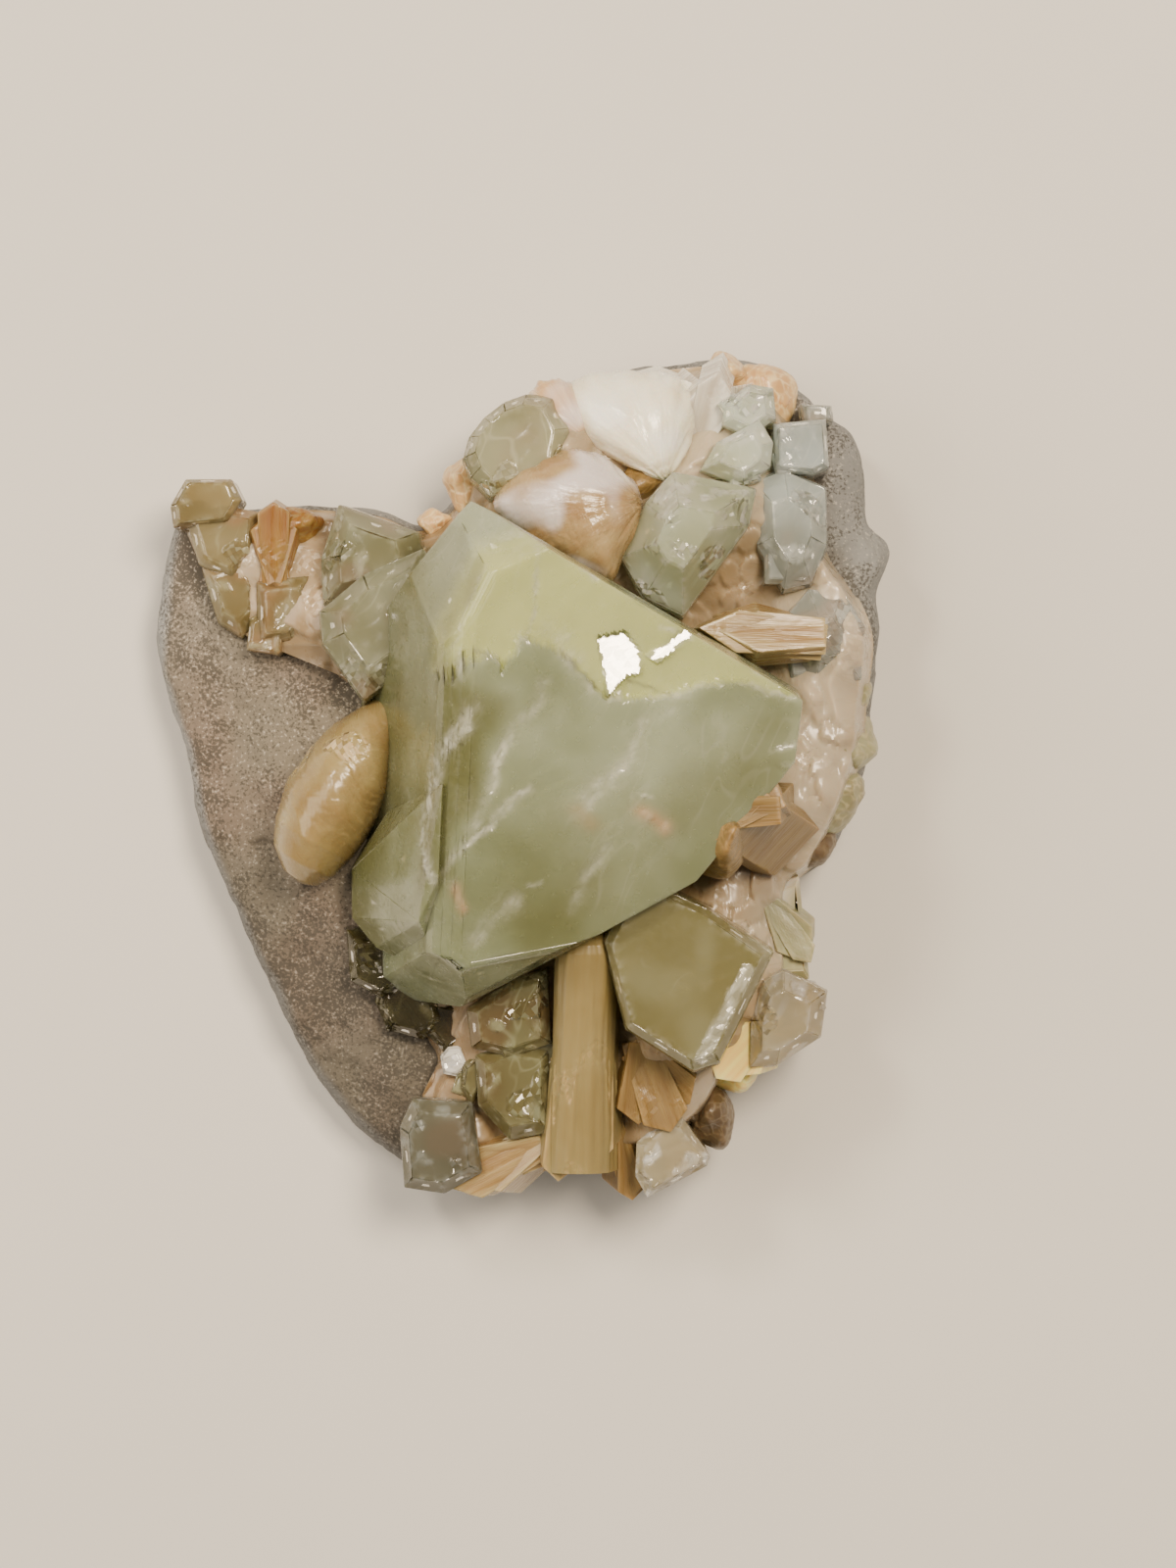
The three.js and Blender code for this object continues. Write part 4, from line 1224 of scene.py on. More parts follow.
@dataclass(frozen=True)
class SilkyFinish:
    """Stilbite: striated along its blades, with paler streaks, soft depth and a pearly gloss."""

    name: str
    slot: str
    deep: str
    pale: str
    edge: str
    other: str = "b8ae98"
    pale_tint_and_sheen: str = "e9e4ea"
    across: float = 2.6
    along: float = 0.16
    depth: float = 0.5
    roughness: float = 0.36
    coat: float = 0.35
    soft: float = 0.12
    mottle: float = 0.35
    glint: float = 0.3

    def material(self) -> bpy.types.Material:
        """Material with lines along the grain, streaks between two colours and bright edges.

        Returns:
            The material.
        """
        made, w, shader = new_material(self.name)
        lines = w.add("Group", {"Across": self.across, "Along": self.along, "Depth": self.depth},
                      node_tree=Effects.place("striation")).outputs
        streaks = w.span(lines["Streaks"], 0.32, 0.68)
        blotch = w.span(w.noise(w.here(), 130.0, 2.0), 0.35, 0.68)
        share = w.math("ADD", w.math("MULTIPLY", streaks, 1.0 - self.mottle),
                       w.math("MULTIPLY", blotch, self.mottle))
        marks, tone = w.marks()
        base = w.blend(share, colour(self.deep), colour(self.pale))
        base = w.blend(w.math("MULTIPLY", tone, 0.7), base, colour(self.other))
        # mark 2: a painted sheen on the fans, a paler tint of the crust in places
        base = w.blend(w.math("MULTIPLY", marks[2], 0.7), base, colour(self.pale_tint_and_sheen))
        # painted highlight along edges
        lit = w.math("MULTIPLY", w.grain()["Z"], w.span(lines["Lines"], 0.3, 0.6))
        base = w.blend(w.math("MULTIPLY", lit, 0.55), base, colour(self.edge))
        rough = w.span(lines["Lines"], 0.3, 0.7, (self.roughness * 0.7, self.roughness * 1.4))
        normal = lines["Normal"]
        if self.glint > 0:
            sparkle = w.add("Group", {"Cell": 0.0007, "Amount": marks[0]},
                            node_tree=Effects.place("sparkle")).outputs
            # painted glints on the tilted cells
            base = w.blend(w.math("MULTIPLY", sparkle["Glint"], 0.7 * self.glint), base, colour(self.edge))
            polish = w.span(sparkle["Mask"], 0.0, 1.0, (1.0, 1.0 - 0.6 * self.glint))
            rough = w.math("MULTIPLY", rough, polish)
            normal = w.bump(sparkle["Height"], self.glint, 1.4, normal)
        w.feed(shader, {
            "Base Color": base, "Roughness": rough, "Normal": normal, "IOR": STILBITE_IOR,
            "Coat Weight": self.coat, "Coat Roughness": 0.22, "Subsurface Weight": self.soft,
            "Subsurface Radius": (1.0, 0.6, 0.35), "Subsurface Scale": 0.0025})
        return made


@dataclass(frozen=True)
class RockFinish:
    """Basalt: a pale dull skin peppered with dark grains, pinkish in places, paler at its rim."""

    name: str = "speckled_basalt"
    slot: str = "rock"

    def material(self) -> bpy.types.Material:
        """Material with specks of two sizes, stains and a rim read from the mark attribute.

        Returns:
            The material.
        """
        made, w, shader = new_material(self.name)
        here = w.here()
        marks, near = w.marks()
        stain = w.span(w.noise(here, 60.0, 1.0, 0.6), 0.42, 0.62)
        base = w.blend(stain, colour("777063"), colour("776a5e"))
        patches = w.span(w.noise(here, 34.0, 1.0), 0.45, 0.62)
        base = w.blend(w.math("MULTIPLY", patches, 0.45), base, colour("888174"))
        base = w.blend(w.math("MULTIPLY", marks[2], 0.8), base, colour("8f9294"))
        grit = w.noise(here, 2300.0, 1.0, 0.75)
        amount = w.span(w.noise(here, 120.0, 2.0, 0.7), 0.38, 0.62, (0.62, 0.45))
        amount = w.math("ADD", amount, w.math("MULTIPLY", marks[2], 0.1))
        amount = w.math("SUBTRACT", amount, w.math("MULTIPLY", near, 0.1))
        dark = w.span(w.math("SUBTRACT", grit, amount), -0.03, 0.06)
        base = w.blend(w.math("MULTIPLY", dark, 0.7), base, colour("403d37"))
        # painted shadow next to the crust, where the crystals meet the rock
        base = w.blend(w.math("MULTIPLY", near, 0.35), base, colour("4c463c"))
        light = w.span(grit, 0.4, 0.28)
        base = w.blend(w.math("MULTIPLY", light, 0.25), base, colour("f2e9d8"))
        # painted shade towards the lower left
        base = w.blend(w.math("MULTIPLY", marks[1], 0.5), base, colour("3a362f"))
        base = w.blend(marks[0], base, colour("3a342b"))
        w.feed(shader, {"Base Color": base, "Roughness": w.span(light, 0.0, 1.0, (0.9, 0.6)),
                        "Normal": w.bump(w.noise(here, 420.0, 2.0, 0.7), 0.7, 0.001)})
        return made


class Finish(Enum):
    """Finishes of the cluster, each with its colours and gloss."""

    GREEN = ClearFinish(
        "milky_green_apophyllite", "green", "98a37e", "bbc6a8", "dbe49e", "696931", "f8faea",
        transmission=0.42, roughness=0.2, density=6.0, soft=0.4, depth=0.004, rim=0.06, veil=0.1, rare=0.9)
    BLOCK = ClearFinish(
        "olive_apophyllite", "green", "8b8659", "a5a279", "a4a37c", "807949", "e6e7d3",
        transmission=0.5, rare=0.8, density=8.0, roughness=0.15, cloud_size=50.0, depth=0.004)
    PALE = ClearFinish(
        "pale_green_apophyllite", "paleGreen", "98956e", "bfc19f", "b7ac8e", "8c8657", "e8e7ca",
        depth=0.004, transmission=0.5)
    LEFT = ClearFinish(
        "grey_green_apophyllite", "paleGreen", "888866", "abaf93", "9e8c75", "7e7a4f", "d8dac1",
        depth=0.004, transmission=0.5)
    FRESH = ClearFinish(
        "fresh_pale_apophyllite", "paleGreen", "bec7a9", "f2fff0", "e7ebd1", "b4bb94", "ffffff",
        transmission=0.5, depth=0.004)
    CORNER = ClearFinish(
        "creamy_glassy_apophyllite", "glassy", "918256", "b0a67f", "b9936c", "776840", "dbd9b5",
        transmission=0.5, density=6.0, absorb="eee0c8", roughness=0.12)
    LOWER = ClearFinish(
        "warm_glassy_apophyllite", "glassy", "7a7147", "93916a", "7f6749", "635935", "c8cca5",
        transmission=0.5, density=6.0, absorb="eee0c8", roughness=0.12)
    HONEY = ClearFinish(
        "honey_glassy_apophyllite", "glassy", "bcad89", "e1dcc3", "e5dcb5", "9d8f6d", "ffffff",
        transmission=0.5, density=6.0, absorb="f0e6d0", roughness=0.12)
    SILVER = ClearFinish(
        "silvery_glassy_apophyllite", "glassy", "abb1aa", "d9e8ea", "c7b8aa", "898d81", "f4f9f6",
        transmission=0.5, density=5.0, absorb="ece8dc", roughness=0.12)
    RIBBED = ClearFinish(
        "ribbed_glassy_apophyllite", "glassy", "b4aa8a", "e5debe", "cbbc99", "928769", "fffff9",
        transmission=0.5, density=5.0, absorb="ece8dc", roughness=0.12)
    # dark colours: the crystals' own dark tone, deepened as painted shade under the main crystal's foot
    DUSKY = ClearFinish(
        "dusky_shaded_glassy_apophyllite", "glassy", "494225", "585334", "4f402b", "373218", "8f8b60",
        transmission=0.65, density=10.0, absorb="dccdb2", roughness=0.14)
    SMOKY = ClearFinish(
        "dark_glassy_apophyllite", "glassy", "706f5b", "8a8a7a", "807563", "5d5945", "cdd7d7",
        transmission=0.5, density=12.0, absorb="dccfac", roughness=0.1)
    # near-white colours: a painted highlight for this tiny crystal's glint, which its tilted top also catches
    # from the key light
    BRILLIANT = ClearFinish(
        "brilliant_apophyllite", "glassy", "f0efe6", "f8f8f2", "f0efe6", "f0efe6", "ffffff",
        transmission=0.3, density=4.0, absorb="f0f0e6", roughness=0.06)
    ORANGE = SilkyFinish(
        "orange_stilbite", "orange", "70552a", "836c3d", "b0905e", "756137",
        depth=0.3, soft=0.23, roughness=0.42, coat=0.2)
    COLUMN = SilkyFinish(
        "column_stilbite", "orange", "8c7b4d", "97885a", "d6b687", "957a50",
        depth=0.06, soft=0.27, mottle=0.75, roughness=0.4, coat=0.25, across=2.0, along=0.22)
    BAND = SilkyFinish(
        "deep_orange_stilbite", "orange", "7c4e1d", "8e6c34", "9d8c55", "826737",
        depth=0.25, soft=0.27, roughness=0.34, coat=0.3)
    BOW = SilkyFinish(
        "bow_stilbite", "orange", "887246", "9e8e5f", "dcc49c", "99825f",
        across=1.1, along=0.4, depth=0.1, mottle=0.7, roughness=0.28, coat=0.45, soft=0.23, glint=1.0)
    PEACH = SilkyFinish(
        "peach_stilbite", "peach", "c69966", "e1c28c", "fff0c0", "d9b27c",
        depth=0.25, soft=0.27)
    SILKY = SilkyFinish(
        "silky_peach_stilbite", "peach", "8c6c40", "aa9464", "c8c094", "a08252",
        depth=0.35, roughness=0.3, coat=0.5, soft=0.18)
    YELLOW = SilkyFinish(
        "yellow_peach_stilbite", "peach", "f4c76f", "fff493", "ffffbf", "ffd787",
        depth=0.25, soft=0.27)
    PEARL = SilkyFinish(
        "pearly_stilbite", "pearly", "9b7b53", "b19b71", "ccbe99", "917653",
        across=1.2, along=0.7, depth=0.3, roughness=0.24, coat=0.7, mottle=0.5, soft=0.18)
    WHITE = SilkyFinish(
        "white_stilbite", "pearly", "f2ebd0", "fffff2", "ffffff", "e5d6b7",
        pale_tint_and_sheen="f7f7f8", across=1.2, along=0.7, depth=0.3, roughness=0.26, coat=0.6, mottle=0.5, soft=0.23,
        glint=0.6)
    GREY = SilkyFinish(
        "grey_stilbite", "pearly", "aca190", "e1ddd3", "fbfaf2", "9d9486",
        across=1.8, along=0.12, depth=0.35, roughness=0.28, coat=0.5, mottle=0.2, soft=0.14)
    CREAM = SilkyFinish(
        "cream_stilbite", "cream", "8d8967", "a6a87f", "cbbf9a", "857853",
        across=1.4, along=0.7, depth=0.2, roughness=0.4, coat=0.3, mottle=0.8, soft=0.32)
    VIOLET = SilkyFinish(
        "violet_crust", "violet", "53432d", "6b5941", "8a7b5f", "4c3b2a",
        across=1.4, along=0.9, depth=0.25, roughness=0.42, coat=0.25, mottle=0.8, soft=0.32)
    CRUST = SilkyFinish(
        "crystalline_crust", "rock", "86704e", "ac9472", "e0d2bc", "6c5a4a",
        pale_tint_and_sheen="c8beaa", across=0.5, along=0.4, depth=0.12, roughness=0.3, coat=0.4, mottle=0.7, soft=0.36,
        glint=0.5)
    ROCK = RockFinish()

    def dressed(self) -> bpy.types.Material:
        """The finish's material, made on first use."""
        return bpy.data.materials.get(self.value.name) or self.value.material()


def add_piece(name: str, skins: list[Skin], finish: Finish, node: str,
              sharp: float = 38.0) -> bpy.types.Object:
    """Object of several closed surfaces that stands for a CAD node.

    Args:
        name: the piece's name.
        skins: its surfaces, in mm.
        finish: what it is dressed in.
        node: the CAD node it replaces, or nothing where it lies over one.
        sharp: angle in degrees above which an edge stays crisp.

    Returns:
        The object, riding on the root.
    """
    skin = joined(skins)
    mesh = bpy.data.meshes.new(name)
    mesh.from_pydata((skin.points * MM).tolist(), [], skin.quads.tolist() + skin.triangles.tolist())
    grain = mesh.attributes.new("grain", "FLOAT_VECTOR", "POINT")
    grain.data.foreach_set("vector", skin.grain.astype(np.float32).ravel())
    mark = mesh.attributes.new("mark", "FLOAT_COLOR", "POINT")
    mark.data.foreach_set("color", skin.mark.astype(np.float32).ravel())
    mesh.materials.append(finish.dressed())
    mesh.shade_smooth()
    mesh.set_sharp_from_angle(angle=math.radians(sharp))
    made = new_object(name, mesh)
    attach(made, "root")
    if node:
        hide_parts(node)
    LOG.info("%s: %d faces for %s", name, len(mesh.polygons), node)
    return made


# ---- matrix ------------------------------------------------------------------------


@dataclass
class Matrix:
    """Rock under the crystals: a domed, wavy top on a flat back inside a broken outline."""

    outline: list[Plan] = field(default_factory=lambda: [
        (-44.6, 35.2), (-36.8, 34.6), (-27.3, 35.4), (-18, 34.4), (-13.2, 32.8), (-8.8, 36.4), (-6, 43.5),
        (1.4, 48), (6, 50.6), (14, 53), (21, 53.8), (26.6, 54.4), (32.8, 53.2), (36.4, 49.8), (39.6, 46.6),
        (42.8, 44.2), (44.4, 39), (44.8, 33), (47.7, 29.6), (46, 24), (46.2, 18.6), (45.2, 9.2), (44.8, 3),
        (42.4, -5), (38.8, -11.4), (35.6, -14), (35.4, -22), (34.8, -28), (31.5, -34), (27, -40),
        (24, -45.5), (14.5, -50), (2, -50.6), (-9, -51.8), (-14.8, -50.6), (-18.5, -48.3), (-22.7, -44.6),
        (-25.7, -40.7), (-28.4, -36.6), (-32.1, -29.1), (-35.8, -21.4), (-38.9, -13.8), (-42.2, -6),
        (-43.6, 1.6), (-45.8, 9.2), (-47.8, 16.9), (-47.2, 24.5), (-45.6, 32)])
    # share of the outline's reach, and what is left of the top's height there
    upper: list[Plan] = field(default_factory=lambda: [
        (0.54, 1), (0.71, 1), (0.83, 1), (0.91, 0.99), (0.96, 0.93), (0.99, 0.8), (1, 0.5)])
    under: list[Plan] = field(default_factory=lambda: [
        (1.004, 0.38), (0.99, 0.26), (0.965, 0.17), (0.94, 0.08), (0.91, 0.0), (0.6, 0.0), (0.2, 0.0)])
    crack: list[Plan] = field(default_factory=lambda: [
        (-41.5, -7.4), (-38, -7.9), (-35.2, -8.6), (-33, -8.2), (-30.4, -9.4)])

    @staticmethod
    def height(x: Array, y: Array) -> Array:
        """Height of the top before the rim turns down: level in the middle, wavy outside it.

        Args:
            x: places.
            y: places.

        Returns:
            Height in mm.
        """
        waviness = (0.5 * np.sin(0.31 * x + 0.17 * y + 1.1) * np.cos(0.23 * y - 0.11 * x)
                    + 0.3 * np.sin(0.67 * x - 0.49 * y) + 0.2 * np.cos(1.13 * y + 0.71 * x))
        away = np.hypot(x / 46, y / 52)
        crust = ease(x, 30, 42) * 5.5 * ease(y, -16, 6)
        ledge = 1.3 * ease(x + 0.35 * y, -36, -30)
        slope = ROCK_RIM - 1.3 + ledge + (ROCK_TOP - ROCK_RIM) * np.sqrt(1 - np.minimum(1, away))
        wild = ease(away, 0.6, 0.78)
        return (ROCK_TOP - 1) * (1 - wild) + (slope + crust + 0.7 * waviness) * wild

    def skin(self) -> Skin:
        """The rock's surface.

        Ring k is the outline scaled toward the middle by its share, at the top's height times
        what is left there; grit, pits and the crack are taken off the height.

        Returns:
            The surface.
        """
        around = 420
        edge = closed_curve(self.outline, around)
        share = np.concatenate([np.linspace(0.02, 0.5, 12), np.linspace(0.52, 1.0, 58)])
        kept = np.interp(share, *zip(*self.upper))
        below = np.array(self.under)
        share = np.concatenate([share, below[:, 0]])[:, None, None]
        kept = np.concatenate([kept, below[:, 1]])[:, None]
        plan = edge[None] * share
        flat = np.concatenate([plan, np.zeros(plan.shape[:2] + (1,))], axis=-1)
        top = self.height(plan[..., 0], plan[..., 1])
        gap, _ = along_line(flat, self.crack)
        crack = np.exp(-(gap / (0.16 + 0.1 * noise(flat, 2.0, 3.0))) ** 2)
        pits = ease(noise(flat, 2.3, 6.0, 3), 0.34, 0.6)
        grit = 0.16 * noise(flat, 1.0, 7.0, 3) + 0.22 * noise(flat, 4.0, 8.0, 2) - 0.45 * pits - 0.5 * crack
        upper = ease(kept, 0.3, 0.9)
        z = top * kept + grit * upper
        place = np.concatenate([plan, z[..., None]], axis=-1)
        ragged = 0.5 * noise(place, 3.4, 9.0, 3) * ease(share[..., 0], 0.9, 1.0) * ease(kept, 0.0, 0.15)
        outward = edge / np.linalg.norm(edge, axis=1, keepdims=True)
        place[..., :2] += outward[None] * ragged[..., None]
        rim = ease(share[..., 0] + 0.02 * noise(place, 6.0, 11.0, 2), 0.955, 0.99)
        gap = -depth_inside(place, Crust().outline)
        # how near the crust is: it brings denser dark specks and a painted shadow next to the crust
        near = np.exp(-np.maximum(gap, 0.0) / 1.1) * upper
        rim = np.maximum(rim, 0.9 * ease(place[..., 0], 32.0, 40.0) * ease(place[..., 1], -8.0, 8.0))
        # painted shade: the rock is painted darker towards the lower left
        shade = ease(-0.5 * place[..., 0] - place[..., 1], 16.0, 42.0)
        mark = np.stack([0.8 * crack * upper, shade, rim * np.ones_like(z), np.minimum(near, 1.0)], axis=-1)
        return tube(place, np.zeros_like(place), mark)

    def build(self) -> None:
        """Makes the rock."""
        add_piece("basalt_matrix", [self.skin()], Finish.ROCK, "matrix_rock", 60.0)


@dataclass
class Crust:
    """Crust of small intergrown crystals between the large ones, on the rock."""

    middle: Plan = (8.0, 0.0)
    outline: list[Plan] = field(default_factory=lambda: [
        (-43.6, 33.6), (-36.8, 33.9), (-27.3, 34.4), (-18, 33.4), (-13.2, 31.6), (-8.4, 34.8), (-5, 43),
        (2, 47), (6, 49.4), (14, 52), (21, 52.8), (26.6, 53), (32, 51.6), (34, 47.6), (36.6, 42),
        (38.6, 36), (39.4, 29), (42.6, 24), (45, 18), (44.2, 9.2), (43.6, 3), (41, -5), (37.8, -11.4),
        (34.8, -14.4), (34.6, -22), (34, -28), (30.7, -33.4), (26.2, -39.4), (23.2, -44.6), (14.2, -49),
        (2, -49.6), (-9, -50.8), (-15, -49.4), (-13.6, -42.6), (-11.2, -37), (-15.6, -30), (-18, -24),
        (-16.5, -19), (-13.5, -10), (-13.5, 2), (-18.5, 9), (-24.6, 13.6), (-27.4, 17.4), (-33, 17.6),
        (-36.8, 18.6), (-39.6, 23.2), (-42.8, 29)])

    # x, y, spread and rise of each mound
    heaps: list[tuple[float, float, float, float]] = field(default_factory=lambda: [
        (33, 34, 6.0, 7.6), (22, 31, 6.5, 8.6), (26, 43, 5.0, 6.4), (1, 42, 5.0, 7.4), (12, 44, 5.5, 6.0),
        (4, 34, 5.0, 6.0), (-17, 21, 6.0, 7.0), (-38, 29, 4.5, 2.6), (-30, 22, 4.0, 2.8),
        (39, 18, 5.0, 5.0), (34, 0, 5.0, 5.0), (36, 8, 4.0, 3.0), (29, -12, 6.0, 6.0), (20, -26, 6.5, 10.0),
        (33, -31, 5.5, 6.0), (-1, -30, 5.5, 4.6), (-1, -40, 5.5, 3.4), (-9, -47, 5.0, 2.6),
        (-15, -27, 5.0, 1.4), (17, -38, 5.5, 6.0), (19, -48, 4.5, 5.0)])

    # x, y, reach, pale share and dusky share of each patch of colour
    areas: list[tuple[float, float, float, float, float]] = field(default_factory=lambda: [
        (38, 20, 9, 0.9, 0), (36, 4, 9, 0.8, 0), (40, -6, 6, 0.9, 0), (34, -20, 7, 1.0, 0),
        (30, 40, 8, 0.8, 0), (31, -12, 5, 0, 0.9), (26, -41, 6, 0.7, 0), (16, 46, 9, 0.8, 0),
        (-38, 29, 6, 0.5, 0), (2, 38, 6, 0.5, 0), (-16, -28, 5, 0, 0.8), (-10, -36, 5, 0, 0.6),
        (-30, 22, 4, 0.3, 0)])

    def crystals(self, x: Array, y: Array, size: float, seed: float) -> tuple[Array, Array, Array]:
        """Heights of small tilted blocks: the highest of one block per cell and its neighbours.

        A block's height is its own level plus its tilt, less a steep fall outside its half-width.

        Args:
            x: places.
            y: places.
            size: width of a cell in mm.
            seed: which set.

        Returns:
            Height in cells, a value of the block on top, and how close its edge is.
        """
        place = np.stack([x, y, np.zeros_like(x)], axis=-1) / size
        home = np.floor(place)
        best = np.full(x.shape, -9.0)
        value = np.zeros(x.shape)
        rim = np.zeros(x.shape)
        for dx, dy in itertools.product((-1.0, 0.0, 1.0), repeat=2):
            cell = home + np.array([dx, dy, 0.0])
            chances = [lattice(cell, seed + k) for k in range(8)]
            u = place[..., 0] - cell[..., 0] - 0.15 - 0.7 * chances[0]
            v = place[..., 1] - cell[..., 1] - 0.15 - 0.7 * chances[1]
            turn = math.pi * chances[2]
            along, across = u * np.cos(turn) + v * np.sin(turn), v * np.cos(turn) - u * np.sin(turn)
            half = 0.38 + 0.34 * chances[3]
            stretch = 0.55 + 0.45 * chances[4]
            out = np.maximum(np.abs(along) / half, np.abs(across) / (half * stretch)) - 1
            corner = (np.abs(along) / half + np.abs(across) / (half * stretch)) / 1.55 - 1
            out = np.maximum(out, corner)
            tilt = (chances[5] - 0.5) * u * 1.1 + (chances[6] - 0.5) * v * 1.1
            height = 0.5 * chances[7] + tilt - 2.4 * np.maximum(out, 0.0)
            top = height > best
            rim = np.where(top, np.exp(-np.abs(out) / 0.1), rim)
            value = np.where(top, chances[4], value)
            best = np.maximum(best, height)
        return np.maximum(best, -0.5), value, rim

    def skin(self) -> Skin:
        """The crust's surface: rings toward the outline, raised by blocks of two sizes.

        Returns:
            The surface.
        """
        around = 560
        edge = closed_curve(self.outline, around)
        share = np.concatenate([np.linspace(0.02, 0.3, 8), np.linspace(0.31, 1.0, 132)])[:, None]
        middle = np.array(self.middle)
        plan = middle + (edge - middle)[None] * share[..., None]
        x, y = plan[..., 0], plan[..., 1]
        flat = np.stack([x, y, 0 * x], axis=-1)
        bend = 0.5 * noise(flat, 3.0, 40.0, 2)
        large, tone, rim = self.crystals(x + bend, y - bend, 6.4, 3.0)
        small, small_tone, small_rim = self.crystals(x - bend, y + bend, 3.1, 5.0)
        mixed = ease(noise(flat, 9.0, 41.0, 2), -0.25, 0.35)
        height = 1.7 * (1 - mixed) * large + mixed * (0.3 + 1.0 * small) + 0.9 * noise(flat, 5.0, 44.0)
        base = Matrix.height(x, y)
        fade = ease(1 - share, 0.0, 0.05)
        heap = sum(rise * np.exp(-((x - px) ** 2 + (y - py) ** 2) / (2 * spread ** 2))
                   for px, py, spread, rise in self.heaps)
        swell = 2.2 + heap + height + 0.8 * noise(flat, 8.0, 42.0)
        z = base - 0.9 + fade * swell + 0.06 * noise(flat, 0.9, 43.0, 2)
        top = np.concatenate([plan, z[..., None]], axis=-1)
        closing = np.array([0.995, 0.6, 0.05])[:, None, None]
        under = middle + (edge - middle)[None] * closing
        low = Matrix.height(under[..., 0], under[..., 1]) - 2.0
        bottom = np.concatenate([under, low[..., None]], axis=-1)
        rings = np.concatenate([top, bottom])
        none = np.zeros((len(closing), around))
        value = np.concatenate([(1 - mixed) * tone + mixed * small_tone, none])
        # paler edges of the small blocks, which the finish paints as a highlight
        bright = 0.4 * np.concatenate([(1 - mixed) * rim + mixed * small_rim, none])
        grain = np.stack([rings[..., 0] + rings[..., 2], rings[..., 1], bright], axis=-1)
        zero = np.zeros_like(value)
        pale, dusky = (sum(area[k] * np.exp(-((rings[..., 0] - area[0]) ** 2 + (rings[..., 1] - area[1]) ** 2)
                                            / area[2] ** 2) for area in self.areas)
                       for k in (3, 4))
        pale = np.clip(1.3 * pale + 0.3 * (value - 0.5), 0.0, 1.0)
        return tube(rings, grain, np.stack([zero, zero, pale, np.clip(dusky + 0.3 * value, 0, 1)], axis=-1))

    def build(self) -> None:
        """Makes the crust."""
        add_piece("crystalline_crust", [self.skin()], Finish.CRUST, "", 50.0)


# ---- large apophyllite -----------------------------------------------------------------


@dataclass
class Stroke:
    """Mark along a broken line in plan: its width, silver, cut in mm, dark ink and peach stain."""

    line: list[Plan]
    width: float
    silver: float = 0.0
    cut: float = 0.0
    ink: float = 0.0
    peach: float = 0.0


